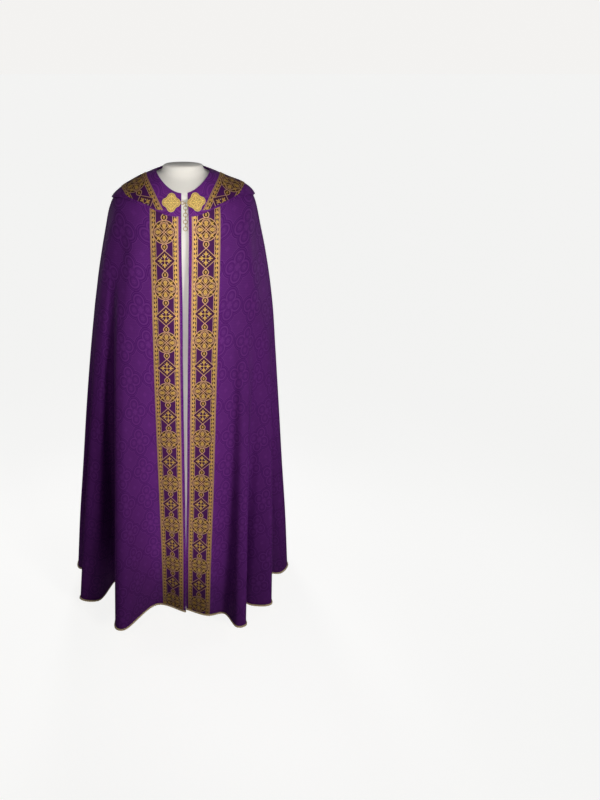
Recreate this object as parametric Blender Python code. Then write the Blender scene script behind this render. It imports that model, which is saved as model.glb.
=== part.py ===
"""Cope vestment with a pointed hood, standing on a limbless dress form.

Units are metres and +Z is up. The origin is the centre of the form's flat base and
the opening of the cope faces -Y. Every cloth piece is a thin closed shell, worked
out from the ring table, the fold table and the edge tables below.
"""

import math

import bpy
import numpy as np

# Cloth thicknesses and the gaps left between sewn pieces.
MANTLE_THICK = 0.0020
ORPHREY_THICK = 0.0014
HOOD_THICK = 0.0018
SEAM_GAP = 0.0003

# Galloon bands.
BAND_WIDTH = 0.083
BAND_MARGIN = 0.009
BAND_COLUMNS = 3
FRONT_ZONE = 2.0 * BAND_MARGIN + BAND_WIDTH

# How far the hood stands off the mantle: at the neck, over the shoulder and at its tip.
HOOD_NECK_CLEAR = 0.0012
HOOD_BODY_CLEAR = 0.0034
HOOD_TIP_CLEAR = 0.0040
# Ring levels over which it rises from the neck, and from and over which the tip lifts.
HOOD_RISE_LEVELS = 2.0
HOOD_TIP_FROM = 4.0
HOOD_TIP_LEVELS = 5.0
HOOD_COLUMNS = 44
HOOD_ROWS = 9
HOOD_BAND_CLEAR = 0.0016
HOOD_BAND_ROWS = 18
DIAGONAL_COLUMNS = 6
# The centre back band: its columns, its first ring level, the ring level at which its
# columns are set out and how far it stops short of the hood's edge, in ring levels.
CENTRE_COLUMNS = 4
CENTRE_TOP_LEVEL = 0.12
CENTRE_SET_LEVEL = 8.0
CENTRE_EDGE_LEVELS = 0.04

# Hem piping.
PIPING_RADIUS = 0.0022
PIPING_SIDES = 5

# Plan shape of every ring: 2 is an ellipse, more is squarer.
NECK_SQUARENESS = 2.0
BODY_SQUARENESS = 2.3
SQUARE_FROM_LEVEL = 4.0

# Growth of a fold from its start height to the hem.
FOLD_POWER = 1.25
# Samples of the hem curve on a fold's flank, on its crest or valley and on a front panel.
FLANK_STEPS = 4
CREST_STEPS = 2
PANEL_STEPS = 4
# Finer samples for each of those, from which lengths along the hem are read.
FINE_SAMPLES = 12
# Shares of the turn from one crest to the next that a crest and its valley take up.
CREST_SHARE = 0.12
VALLEY_FROM_SHARE = 0.44
VALLEY_TO_SHARE = 0.56
# The right front panel begins at this turn and facing, in degrees.
LAST_TURN = 345.0
LAST_FACE = 360.0
# Knots that the rounds of a centripetal curve blend between: low ends, high ends.
SPLINE_KNOTS = (((0, 1, 2), (1, 2, 3)), ((0, 1), (2, 3)), ((1,), (2,)))
# No fold column stands nearer than this to the flat zone beside a front edge.
ZONE_CLEAR = 0.010

# Rings of the mantle, neck to hem, outer face. One row per ring.
# half_width, side_z, front_y, front_z, back_y, back_z, left_edge_x, right_edge_x
RINGS = (
    (0.080, 1.561, -0.112, 1.513, 0.086, 1.574, -0.0050, 0.0130),
    (0.100, 1.555, -0.118, 1.496, 0.094, 1.562, -0.0050, 0.0140),
    (0.126, 1.543, -0.124, 1.477, 0.104, 1.540, -0.0048, 0.0152),
    (0.155, 1.528, -0.130, 1.456, 0.115, 1.510, -0.0048, 0.0160),
    (0.185, 1.510, -0.136, 1.424, 0.126, 1.472, -0.0046, 0.0170),
    (0.210, 1.488, -0.142, 1.386, 0.135, 1.430, -0.0045, 0.0175),
    (0.226, 1.455, -0.148, 1.342, 0.143, 1.380, -0.0040, 0.0174),
    (0.240, 1.400, -0.156, 1.288, 0.152, 1.315, -0.0030, 0.0170),
    (0.258, 1.320, -0.166, 1.218, 0.165, 1.236, -0.0015, 0.0166),
    (0.281, 1.200, -0.179, 1.122, 0.182, 1.132, -0.0008, 0.0158),
    (0.307, 1.030, -0.194, 0.975, 0.205, 0.980, 0.0002, 0.0148),
    (0.335, 0.790, -0.210, 0.765, 0.232, 0.765, 0.0030, 0.0141),
    (0.361, 0.540, -0.223, 0.530, 0.258, 0.530, 0.0066, 0.0134),
    (0.387, 0.300, -0.237, 0.296, 0.283, 0.296, 0.0096, 0.0108),
    (0.409, 0.055, -0.250, 0.055, 0.305, 0.055, 0.0100, 0.0112),
)
# Step in turn and in level between the points that a normal is read from.
NORMAL_STEP = 0.01
BAND_TOP_LEVEL = 3
# Width left to the front zone at the neck edge, as a share of its full width.
NECK_ZONE_SHARE = 0.5
# The right shoulder sits a little higher than the left one.
RIGHT_LIFT = 0.011
RIGHT_LIFT_LEVEL = 4.6
RIGHT_LIFT_SPAN = 2.6

# Folds of the mantle at the hem, from the left front round the back to the right
# front. A crest is followed by its valley. turn, face: degrees, 0 front and 90 left.
# name, turn, crest_x, crest_y, crest_w, face, valley_x, valley_y, valley_w, start_z
FOLDS = (
    ("left front", 33, -0.225, -0.333, 0.030, 20, -0.236, -0.085, 0.040, 1.30),
    ("left side front", 58, -0.350, -0.186, 0.070, 10, -0.322, -0.030, 0.034, 1.16),
    ("left side", 87, -0.412, 0.020, 0.060, 90, -0.312, 0.108, 0.030, 1.14),
    ("left side back", 112, -0.396, 0.208, 0.052, 112, -0.268, 0.180, 0.028, 1.18),
    ("left back", 135, -0.288, 0.338, 0.048, 150, -0.166, 0.222, 0.030, 1.25),
    ("back left", 161, -0.138, 0.376, 0.050, 172, -0.012, 0.338, 0.110, 1.10),
    ("back right", 198, 0.154, 0.380, 0.050, 190, 0.176, 0.230, 0.030, 1.10),
    ("right back", 224, 0.290, 0.342, 0.050, 214, 0.272, 0.186, 0.028, 1.24),
    ("right side back", 247, 0.394, 0.216, 0.050, 250, 0.314, 0.122, 0.030, 1.17),
    ("right side", 273, 0.400, -0.010, 0.070, 300, 0.300, -0.045, 0.030, 1.14),
    ("right side front", 302, 0.290, -0.212, 0.075, 355, 0.196, -0.180, 0.016, 1.16),
    ("right front", 328, 0.209, -0.318, 0.034, 340, 0.120, -0.262, 0.060, 1.22),
)
# The flat front panels at the hem: the corner and the shallow hollow beside each band.
LEFT_CORNER = (0.0100, -0.250)
LEFT_HOLLOW = (-0.094, -0.212)
LEFT_HOLLOW_TURN = 16.0
RIGHT_CORNER = (0.0112, -0.236)
PANEL_START_Z = 1.20

# Outer edge of the hood: degrees round the body and ring level, front to back.
# turn, level
HOOD_EDGE = (
    (0, 3.16),
    (15, 3.26),
    (24, 3.22),
    (33, 3.24),
    (42, 3.42),
    (53, 3.72),
    (63, 4.04),
    (73, 4.54),
    (82, 5.02),
    (96, 5.24),
    (111, 5.48),
    (121, 6.00),
    (127, 6.52),
    (132, 6.94),
    (137, 7.26),
    (143, 7.48),
    (150, 7.74),
    (157, 7.95),
    (164, 8.18),
    (171, 8.50),
    (180, 8.90),
)

# Diagonal hood bands, from the centre back over the shoulder to the front edge.
# inner_turn, inner_level, outer_turn, outer_level
DIAGONAL_BAND = (
    (171.3, 5.30, 172.9, 7.94),
    (168.2, 4.91, 167.8, 7.46),
    (164.5, 4.50, 161.9, 6.94),
    (160.1, 4.06, 155.2, 6.39),
    (154.3, 3.63, 147.2, 5.79),
    (146.6, 3.16, 136.0, 5.08),
    (133.0, 2.50, 119.0, 4.42),
    (112.0, 1.75, 103.0, 4.05),
    (90.0, 1.36, 88.0, 3.93),
    (69.0, 1.38, 74.0, 3.86),
    (52.7, 1.52, 63.0, 3.84),
    (39.5, 1.82, 50.5, 3.52),
    (28.4, 2.31, 38.0, 3.20),
    (19.6, 2.89, 25.0, 3.08),
)

# Dress form below the shoulders: half_width, side_z, front_y, front_z, back_y, back_z.
FORM_NECK = (
    (0.0540, 1.5800, -0.0480, 1.5800, 0.0560, 1.5800),
    (0.0590, 1.5770, -0.0530, 1.5765, 0.0610, 1.5775),
    (0.0615, 1.5700, -0.0575, 1.5640, 0.0640, 1.5720),
    (0.0670, 1.5610, -0.0720, 1.5420, 0.0690, 1.5660),
)
FORM_SHOULDER_LEVELS = (0.0, 0.8, 1.6, 2.5, 3.3, 4.1, 4.8)
FORM_CLEAR = 0.0022
FORM_CHEST_CLEAR = 0.0120
FORM_BODY = (
    (0.2100, 1.450, -0.1290, 1.340, 0.1350, 1.380),
    (0.2060, 1.390, -0.1340, 1.270, 0.1350, 1.310),
    (0.1920, 1.290, -0.1380, 1.190, 0.1340, 1.220),
    (0.1780, 1.150, -0.1420, 1.070, 0.1340, 1.090),
    (0.1760, 0.950, -0.1500, 0.900, 0.1420, 0.900),
    (0.1800, 0.650, -0.1620, 0.650, 0.1560, 0.650),
    (0.1860, 0.300, -0.1700, 0.300, 0.1660, 0.300),
    (0.1900, 0.012, -0.1740, 0.012, 0.1720, 0.012),
    (0.1860, 0.000, -0.1700, 0.000, 0.1680, 0.000),
)
FORM_COLUMNS = 32

# Front clasp: quatrefoil plates, the eye, the hook and the chain of rings.
PLATE_TIP = 0.0272
PLATE_LOBE_RADIUS = 0.0125
PLATE_LOBE_REACH = PLATE_TIP - PLATE_LOBE_RADIUS
PLATE_DIAMOND = PLATE_TIP
PLATE_THICK = 0.0026
PLATE_DOME = 0.0014
PLATE_POINTS = 28
# Layers of a plate from its back: share of the outline, of its thickness and of its dome.
PLATE_LAYERS = (
    (1.00, 0.00, 0.0),
    (1.00, 0.55, 0.0),
    (0.93, 1.00, 0.0),
    (0.84, 1.00, 0.0),
    (0.45, 1.00, 1.0),
)
PLATE_LEFT_X = -0.0337
PLATE_RIGHT_X = 0.0385
PLATE_LEVEL = 1.72
PLATE_LIFT = 0.0015
PLATE_AIM_STEPS = 6
PLATE_RIGHT_TILT = math.radians(9.0)
WIRE_RADIUS = 0.0009
WIRE_SIDES = 5
EYE_RADIUS = 0.0045
# The eye and the hook stand this far in front of the plates' backs.
CLASP_STANDOFF = 0.0100
# The hook's curl through the eye: distance right of the eye's centre and behind the bar.
HOOK_CURL = ((0.0014, 0.0004), (0.0002, 0.0017), (0.0006, 0.0041), (0.0020, 0.0055))
RING_RADIUS = 0.0060
RING_SIDES = 12
RING_COUNT = 8
CHAIN_X = 0.0072

# Clear drop on a short cord at the tip of the hood.
CORD_RADIUS = 0.0007
CORD_LENGTH = 0.0130
DROP_RADIUS = 0.0050
DROP_SIDES = 12
# The cord starts this far below the tip of the hood.
TIP_BELOW = 0.0023
# Profiles of the two halves: distance along the drop and share of its radius.
UPPER_PROFILE = (
    (0.0, 0.45),
    (0.0020, 0.80),
    (0.0060, 1.0),
    (0.0440, 1.0),
    (0.0470, 0.70),
    (0.0480, 0.40),
)
LOWER_PROFILE = (
    (0.0, 0.40),
    (0.0009, 0.75),
    (0.0037, 0.95),
    (0.0257, 0.85),
    (0.0287, 0.40),
)

COLOURS = {
    "purple damask": (0.105, 0.012, 0.190, 1.0),
    "gold galloon": (0.420, 0.260, 0.075, 1.0),
    "gold piping": (0.560, 0.380, 0.140, 1.0),
    "gold metal": (0.830, 0.600, 0.170, 1.0),
    "cream form": (0.640, 0.620, 0.540, 1.0),
    "purple cord": (0.120, 0.020, 0.200, 1.0),
    "clear acrylic": (0.850, 0.860, 0.900, 1.0),
}


def clear_scene():
    """Remove whatever the file opened with."""
    for obj in list(bpy.data.objects):
        bpy.data.objects.remove(obj, do_unlink=True)


def finish_material(name, label, metallic=0.0, roughness=0.7):
    """A Principled material of its own for one piece."""
    material = bpy.data.materials.new(name)
    material.use_nodes = True
    shader = material.node_tree.nodes["Principled BSDF"]
    shader.inputs["Base Color"].default_value = COLOURS[label]
    shader.inputs["Metallic"].default_value = metallic
    shader.inputs["Roughness"].default_value = roughness
    material.diffuse_color = COLOURS[label]
    return material


def signed_volume(points, faces):
    """Volume inside the faces, negative when they look inwards."""
    total = 0.0
    for face in faces:
        for k in range(1, len(face) - 1):
            a, b, c = (points[face[i]] for i in (0, k, k + 1))
            total += float(np.dot(a, np.cross(b, c)))
    return total / 6.0


def add_object(name, points, faces, label, metallic=0.0, roughness=0.7):
    """Add one closed solid from its points and faces, with its faces outward."""
    points = np.asarray(points, float)
    if signed_volume(points, faces) < 0.0:
        faces = [tuple(reversed(face)) for face in faces]
    mesh = bpy.data.meshes.new(name)
    mesh.from_pydata([tuple(float(v) for v in point) for point in points], [], faces)
    mesh.update()
    mesh.materials.append(finish_material(name, label, metallic, roughness))
    obj = bpy.data.objects.new(name, mesh)
    bpy.context.scene.collection.objects.link(obj)


def catmull_rom(table, position):
    """Row of a table at a fractional index, through every row."""
    rows = np.asarray(table, float)
    position = min(max(position, 0.0), len(rows) - 1.0)
    index = min(int(position), len(rows) - 2)
    part = position - index
    before = rows[index - 1] if index > 0 else 2.0 * rows[0] - rows[1]
    last = index + 2 < len(rows)
    after = rows[index + 2] if last else 2.0 * rows[-1] - rows[-2]
    here = rows[index]
    there = rows[index + 1]
    linear = 0.5 * (there - before)
    square = before - 2.5 * here + 2.0 * there - 0.5 * after
    cube = 0.5 * (after - before) + 1.5 * (here - there)
    return here + part * (linear + part * (square + part * cube))


def squareness(level):
    """Plan exponent at a ring level."""
    share = min(level / SQUARE_FROM_LEVEL, 1.0)
    return NECK_SQUARENESS + (BODY_SQUARENESS - NECK_SQUARENESS) * share


def oval_point(ring, exponent, turn):
    """Point of a ring at an angle round the body, 0 at the front and 90 at the left."""
    sine = math.sin(turn)
    cosine = math.cos(turn)
    side = math.copysign(abs(sine) ** (2.0 / exponent), sine)
    depth = abs(cosine) ** (2.0 / exponent)
    end_y, end_z = (ring[2], ring[3]) if cosine > 0.0 else (ring[4], ring[5])
    height = ring[1] + (end_z - ring[1]) * cosine * cosine
    return np.array((-ring[0] * side, end_y * depth, height))


def body_point(turn, level):
    """Point of the unfolded mantle's outer face."""
    point = oval_point(catmull_rom(RINGS, level), squareness(level), turn)
    side = max(-math.sin(turn), 0.0) ** 3
    away = (level - RIGHT_LIFT_LEVEL) / RIGHT_LIFT_SPAN
    point[2] += RIGHT_LIFT * side * max(1.0 - away * away, 0.0) ** 2
    return point


def body_normal(turn, level):
    """Outward normal of the unfolded mantle."""
    low = max(level - NORMAL_STEP, 0.0)
    round_body = body_point(turn + NORMAL_STEP, level) - body_point(turn - NORMAL_STEP, level)
    down_body = body_point(turn, level + NORMAL_STEP) - body_point(turn, low)
    normal = np.cross(round_body, down_body)
    return normal / np.linalg.norm(normal)


def raised_point(turn, level, height):
    """Point of the unfolded mantle moved out along its normal."""
    return body_point(turn, level) + height * body_normal(turn, level)


def zone_turn(level, reach, left):
    """Angle of the point that lies a distance from a front edge, measured across."""
    ring = catmull_rom(RINGS, level)
    edge = ring[6] if left else ring[7]
    grown = min(level / BAND_TOP_LEVEL, 1.0)
    shrink = NECK_ZONE_SHARE + (1.0 - NECK_ZONE_SHARE) * grown
    across = -edge + reach * shrink if left else edge + reach * shrink
    share = min(abs(across) / ring[0], 1.0)
    angle = math.copysign(math.asin(share ** (squareness(level) / 2.0)), across)
    return angle if left else 2.0 * math.pi - angle


def facing(degrees):
    """Direction of walking round the body at a given facing angle."""
    angle = math.radians(degrees)
    return np.array((-math.cos(angle), math.sin(angle)))


def hem_controls():
    """Control points of the hem curve: x, y, turn in degrees, start height."""
    points = [(*LEFT_CORNER, 0.0, PANEL_START_Z)]
    points.append((*LEFT_HOLLOW, LEFT_HOLLOW_TURN, PANEL_START_Z))
    steps = [PANEL_STEPS]
    for index, fold in enumerate(FOLDS):
        _, turn, crest_x, crest_y, crest_w, face, hollow_x, hollow_y, hollow_w, start = fold
        last = index + 1 == len(FOLDS)
        next_turn = LAST_TURN if last else FOLDS[index + 1][1]
        next_face = LAST_FACE if last else FOLDS[index + 1][5]
        next_face += 360.0 if next_face - face < -180.0 else 0.0
        along = facing(face) * crest_w / 2.0
        across = facing(0.5 * (face + next_face)) * hollow_w / 2.0
        crest = np.array((crest_x, crest_y))
        hollow = np.array((hollow_x, hollow_y))
        gap = next_turn - turn
        points.append((*(crest - along), turn - CREST_SHARE * gap, start))
        points.append((*(crest + along), turn + CREST_SHARE * gap, start))
        points.append((*(hollow - across), turn + VALLEY_FROM_SHARE * gap, start))
        points.append((*(hollow + across), turn + VALLEY_TO_SHARE * gap, start))
        steps += [FLANK_STEPS, CREST_STEPS, FLANK_STEPS, CREST_STEPS]
    points.append((*RIGHT_CORNER, 360.0, PANEL_START_Z))
    steps.append(PANEL_STEPS)
    return np.array(points), steps


def smooth_through(points, steps):
    """Centripetal curve through the control points, with its samples per span."""
    ends = np.vstack((2.0 * points[0] - points[1], points, 2.0 * points[-1] - points[-2]))
    samples = []
    for index, count in enumerate(steps):
        quad = ends[index : index + 4]
        knots = [0.0]
        for a, b in zip(quad[:-1], quad[1:]):
            knots.append(knots[-1] + math.sqrt(np.linalg.norm((b - a)[:2])))
        for step in range(count):
            at = knots[1] + (knots[2] - knots[1]) * step / count
            level = list(quad)
            for low_ends, high_ends in SPLINE_KNOTS:
                merged = []
                for k, (low_end, high_end) in enumerate(zip(low_ends, high_ends)):
                    low = knots[low_end]
                    high = knots[high_end]
                    part = (at - low) / (high - low)
                    merged.append(level[k] * (1.0 - part) + level[k + 1] * part)
                level = merged
            samples.append(level[0])
    samples.append(points[-1])
    return np.array(samples)


def mantle_columns():
    """Columns of the mantle: hem x, y, turn share, start height, reach and side.

    The first and last columns lie in the flat front zones, where reach is the
    distance from the edge. Elsewhere reach is -1.
    """
    controls, steps = hem_controls()
    dense = smooth_through(controls, [step * FINE_SAMPLES for step in steps])
    coarse = smooth_through(controls, steps)
    run = np.linalg.norm(np.diff(dense[:, :2], axis=0), axis=1)
    arc = np.concatenate(([0.0], np.cumsum(run)))
    zone = [0.0, BAND_MARGIN]
    zone += [BAND_MARGIN + BAND_WIDTH * (k + 1) / BAND_COLUMNS for k in range(BAND_COLUMNS)]
    zone.append(FRONT_ZONE)
    left_turn = zone_turn(len(RINGS) - 1.0, FRONT_ZONE, True)
    right_turn = zone_turn(len(RINGS) - 1.0, FRONT_ZONE, False)
    near_zone = FRONT_ZONE + ZONE_CLEAR
    places = [(reach, reach, 1) for reach in zone]
    for sample in coarse:
        nearest = int(np.argmin(np.linalg.norm(dense[:, :2] - sample[:2], axis=1)))
        if near_zone < arc[nearest] < arc[-1] - near_zone:
            places.append((arc[nearest], -1.0, 0))
    places += [(arc[-1] - reach, reach, -1) for reach in reversed(zone)]
    columns = []
    for place, reach, side in places:
        hem = [np.interp(place, arc, dense[:, k]) for k in range(4)]
        share = (math.radians(hem[2]) - left_turn) / (right_turn - left_turn)
        columns.append((hem[0], hem[1], min(max(share, 0.0), 1.0), hem[3], reach, side))
    return columns


def column_turn(column, level):
    """Angle round the body of a mantle column at a ring level."""
    _, _, share, _, reach, side = column
    if side:
        return zone_turn(level, reach, side > 0)
    left_turn = zone_turn(level, FRONT_ZONE, True)
    right_turn = zone_turn(level, FRONT_ZONE, False)
    return left_turn + share * (right_turn - left_turn)


def mantle_point(column, level):
    """Point of the folded mantle's outer face."""
    last = len(RINGS) - 1.0
    point = body_point(column_turn(column, level), level)
    at_hem = body_point(column_turn(column, last), last)
    start = column[3]
    depth = max(0.0, (start - point[2]) / (start - at_hem[2]))
    growth = depth**FOLD_POWER
    point[0] += growth * (column[0] - at_hem[0])
    point[1] += growth * (column[1] - at_hem[1])
    return point


def grid_normals(grid):
    """Outward normals of a grid of points, columns round the body and rows down."""
    round_body = np.gradient(grid, axis=0)
    down_body = np.gradient(grid, axis=1)
    normals = np.cross(round_body, down_body)
    return normals / np.linalg.norm(normals, axis=2, keepdims=True)


def shell_faces(columns, rows, looped=False):
    """Faces of a closed shell: outer sheet, inner sheet and the rim between them."""
    inner = columns * rows
    faces = []
    spans = columns if looped else columns - 1
    for c in range(spans):
        d = (c + 1) % columns
        for r in range(rows - 1):
            a = c * rows + r
            b = d * rows + r
            faces.append((a, a + 1, b + 1, b))
            faces.append((inner + a, inner + b, inner + b + 1, inner + a + 1))
        top_a = c * rows
        top_b = d * rows
        low_a = top_a + rows - 1
        low_b = top_b + rows - 1
        faces.append((top_a, top_b, inner + top_b, inner + top_a))
        faces.append((low_a, inner + low_a, inner + low_b, low_b))
    if not looped:
        end = (columns - 1) * rows
        for r in range(rows - 1):
            faces.append((r, inner + r, inner + r + 1, r + 1))
            faces.append((end + r, end + r + 1, inner + end + r + 1, inner + end + r))
    return faces


def shell(name, outer, inner, label, looped=False, roughness=0.7):
    """Closed thin shell between an outer and an inner grid of points."""
    columns, rows = outer.shape[:2]
    points = np.concatenate((outer.reshape(-1, 3), inner.reshape(-1, 3)))
    faces = shell_faces(columns, rows, looped)
    add_object(name, points, faces, label, roughness=roughness)


def stacked_faces(layers, sides):
    """Faces of a closed stack of rings that all have the same number of points."""
    faces = []
    for layer in range(layers - 1):
        base = layer * sides
        for k in range(sides):
            j = (k + 1) % sides
            faces.append((base + k, base + j, base + sides + j, base + sides + k))
    faces.append(tuple(range(sides - 1, -1, -1)))
    top = (layers - 1) * sides
    faces.append(tuple(top + k for k in range(sides)))
    return faces


def tube(name, path, radius, sides, label, looped=False, metallic=0.0, roughness=0.5):
    """Closed round tube along a path."""
    path = np.asarray(path, float)
    count = len(path)
    points = []
    upright = np.array((0.0, 0.0, 1.0))
    for index in range(count):
        ahead = path[(index + 1) % count] if looped else path[min(index + 1, count - 1)]
        behind = path[index - 1] if looped or index else path[0]
        along = ahead - behind
        along = along / np.linalg.norm(along)
        guide = upright if abs(along[2]) < 0.9 else np.array((0.0, 1.0, 0.0))
        side = np.cross(along, guide)
        side = side / np.linalg.norm(side)
        rise = np.cross(side, along)
        for k in range(sides):
            angle = 2.0 * math.pi * k / sides
            offset = math.cos(angle) * side + math.sin(angle) * rise
            points.append(path[index] + radius * offset)
    faces = stacked_faces(count, sides)
    if looped:
        faces = faces[:-2]
        base = (count - 1) * sides
        for k in range(sides):
            j = (k + 1) % sides
            faces.append((base + k, base + j, j, k))
    add_object(name, points, faces, label, metallic, roughness)


def build_mantle():
    """The semicircular mantle in one piece, with its two front bands and its piping."""
    columns = mantle_columns()
    rows = len(RINGS)
    outer = np.array([[mantle_point(c, float(r)) for r in range(rows)] for c in columns])
    normals = grid_normals(outer)
    inner = outer - MANTLE_THICK * normals
    shell("mantle", outer, inner, "purple damask")
    low = SEAM_GAP
    high = SEAM_GAP + ORPHREY_THICK
    first = 1
    last = first + BAND_COLUMNS + 1
    left = slice(first, last)
    right = slice(len(columns) - last, len(columns) - first)
    for name, span in (("front_band_left", left), ("front_band_right", right)):
        cloth = outer[span, BAND_TOP_LEVEL:]
        lift = normals[span, BAND_TOP_LEVEL:]
        shell(name, cloth + high * lift, cloth + low * lift, "gold galloon")
    hem = 0.5 * (outer[:, -1] + inner[:, -1])
    hem[:, 2] -= SEAM_GAP + PIPING_RADIUS
    tube("hem_piping", hem, PIPING_RADIUS, PIPING_SIDES, "gold piping")


def hood_edge(turn):
    """Ring level of the hood's outer edge at an angle round the body."""
    degrees = math.degrees(turn)
    degrees = degrees if degrees <= 180.0 else 360.0 - degrees
    turns = [row[0] for row in HOOD_EDGE]
    index = float(np.interp(degrees, turns, range(len(turns))))
    return float(catmull_rom(HOOD_EDGE, index)[1])


def hood_height(level):
    """Height of the hood's inner face over the mantle's outer face."""
    rise = min(level / HOOD_RISE_LEVELS, 1.0)
    tip = max(level - HOOD_TIP_FROM, 0.0) / HOOD_TIP_LEVELS
    body = HOOD_BODY_CLEAR - HOOD_NECK_CLEAR
    return HOOD_NECK_CLEAR + body * rise + HOOD_TIP_CLEAR * tip * tip


def hood_turns():
    """Angles of the hood's columns, from the left front edge to the right one."""
    left = zone_turn(0.0, 0.0, True)
    right = zone_turn(0.0, 0.0, False)
    half = HOOD_COLUMNS // 2
    turns = [left + (math.pi - left) * k / half for k in range(half)]
    turns += [math.pi + (right - math.pi) * k / half for k in range(half + 1)]
    return turns


def hood_front_turn(turn, level):
    """Keep the hood's two front edges on the mantle's front edges at every level."""
    left_side = turn <= math.pi
    top = zone_turn(0.0, 0.0, left_side)
    edge = zone_turn(level, 0.0, left_side)
    share = (turn - math.pi) / (top - math.pi)
    return math.pi + share * (edge - math.pi)


def hood_point(turn, level, height):
    """Point at a height over the hood's inner face."""
    placed = hood_front_turn(turn, level)
    return raised_point(placed, level, hood_height(level) + height)


def build_hood():
    """The hood: a shoulder cape that runs down to a point at the centre back."""
    outer = []
    inner = []
    for turn in hood_turns():
        levels = [hood_edge(turn) * r / HOOD_ROWS for r in range(HOOD_ROWS + 1)]
        outer.append([hood_point(turn, level, HOOD_THICK) for level in levels])
        inner.append([hood_point(turn, level, 0.0) for level in levels])
    shell("hood", np.array(outer), np.array(inner), "purple damask")


def band_on_hood(name, stations):
    """Galloon band over the hood; stations are lists of turn and level across it."""
    low = HOOD_THICK + HOOD_BAND_CLEAR
    faces = []
    for rise in (low + ORPHREY_THICK, low):
        sheet = []
        for row in stations:
            sheet.append([raised_point(t, level, hood_height(level) + rise) for t, level in row])
        faces.append(np.array(sheet))
    shell(name, faces[0], faces[1], "gold galloon")


def turn_at_x(x, level):
    """Angle of the back point of a ring at a distance right of the centre."""
    ring = catmull_rom(RINGS, level)
    share = min(abs(x) / ring[0], 1.0)
    angle = math.asin(share ** (squareness(level) / 2.0))
    return math.pi + math.copysign(angle, x)


def build_hood_bands():
    """The centre back band and the two diagonal bands of the hood."""
    across = [BAND_WIDTH * (k / CENTRE_COLUMNS - 0.5) for k in range(CENTRE_COLUMNS + 1)]
    columns = []
    for x in across:
        edge = hood_edge(turn_at_x(x, CENTRE_SET_LEVEL)) - CENTRE_EDGE_LEVELS
        rows = []
        for step in range(HOOD_BAND_ROWS + 1):
            run = (edge - CENTRE_TOP_LEVEL) * step / HOOD_BAND_ROWS
            level = CENTRE_TOP_LEVEL + run
            rows.append((turn_at_x(x, level), level))
        columns.append(rows)
    band_on_hood("hood_band_centre", columns)
    left = []
    for k in range(DIAGONAL_COLUMNS + 1):
        rows = []
        for step in range(HOOD_BAND_ROWS + 1):
            index = step * (len(DIAGONAL_BAND) - 1) / HOOD_BAND_ROWS
            row = catmull_rom(DIAGONAL_BAND, index)
            share = k / DIAGONAL_COLUMNS
            turn = row[0] + (row[2] - row[0]) * share
            level = row[1] + (row[3] - row[1]) * share
            rows.append((math.radians(turn), level))
        left.append(rows)
    band_on_hood("hood_band_left", left)
    right = [[(2.0 * math.pi - turn, level) for turn, level in rows] for rows in left[::-1]]
    band_on_hood("hood_band_right", right)


def build_form():
    """The limbless dress form that the cope rests on, closed and flat at its base."""
    rings = []
    turns = [2.0 * math.pi * k / FORM_COLUMNS for k in range(FORM_COLUMNS)]
    for row in FORM_NECK:
        rings.append([oval_point(row, NECK_SQUARENESS, turn) for turn in turns])
    for level in FORM_SHOULDER_LEVELS:
        ring = []
        for turn in turns:
            chest = max(math.cos(turn), 0.0) ** 2 * min(level / BAND_TOP_LEVEL, 1.0)
            depth = MANTLE_THICK + FORM_CLEAR + FORM_CHEST_CLEAR * chest
            ring.append(raised_point(turn, level, -depth))
        rings.append(ring)
    for row in FORM_BODY:
        rings.append([oval_point(row, BODY_SQUARENESS, turn) for turn in turns])
    points = [point for ring in rings for point in ring]
    faces = []
    for r in range(len(rings) - 1):
        for k in range(FORM_COLUMNS):
            j = (k + 1) % FORM_COLUMNS
            a = r * FORM_COLUMNS
            b = a + FORM_COLUMNS
            faces.append((a + k, b + k, b + j, a + j))
    faces.append(tuple(range(FORM_COLUMNS)))
    base = (len(rings) - 1) * FORM_COLUMNS
    faces.append(tuple(base + k for k in range(FORM_COLUMNS - 1, -1, -1)))
    add_object("dress_form", points, faces, "cream form", roughness=0.8)


def plate_reach(angle):
    """Distance from a plate's centre to its lobed edge."""
    reach = PLATE_DIAMOND / (abs(math.cos(angle)) + abs(math.sin(angle)))
    for lobe in range(4):
        away = angle - lobe * math.pi / 2.0
        inside = PLATE_LOBE_RADIUS**2 - (PLATE_LOBE_REACH * math.sin(away)) ** 2
        if inside > 0.0 and math.cos(away) > 0.0:
            reach = max(reach, PLATE_LOBE_REACH * math.cos(away) + math.sqrt(inside))
    return reach


def plate_frame(x):
    """Centre, right, up and outward directions of a clasp plate on the hood."""
    ring = catmull_rom(RINGS, PLATE_LEVEL)
    lift = hood_height(PLATE_LEVEL) + HOOD_THICK + PLATE_LIFT
    aim = x
    for _ in range(PLATE_AIM_STEPS):
        turn = -math.asin(aim / ring[0])
        centre = raised_point(turn, PLATE_LEVEL, lift)
        aim += x - centre[0]
    out = body_normal(turn, PLATE_LEVEL)
    right = np.cross(out, np.array((0.0, 0.0, -1.0)))
    right = right / np.linalg.norm(right)
    up = np.cross(right, -out)
    return centre, right, up, out


def build_plate(name, x, tilt):
    """One quatrefoil clasp plate with a low domed face."""
    centre, right, up, out = plate_frame(x)
    points = []
    for scale, thick_share, dome_share in PLATE_LAYERS:
        height = thick_share * PLATE_THICK + dome_share * PLATE_DOME
        for k in range(PLATE_POINTS):
            angle = 2.0 * math.pi * k / PLATE_POINTS
            reach = scale * plate_reach(angle)
            turned = angle + tilt
            flat = math.cos(turned) * right + math.sin(turned) * up
            points.append(centre + reach * flat + height * out)
    faces = stacked_faces(len(PLATE_LAYERS), PLATE_POINTS)
    add_object(name, points, faces, "gold metal", metallic=1.0, roughness=0.3)
    return centre


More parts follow.
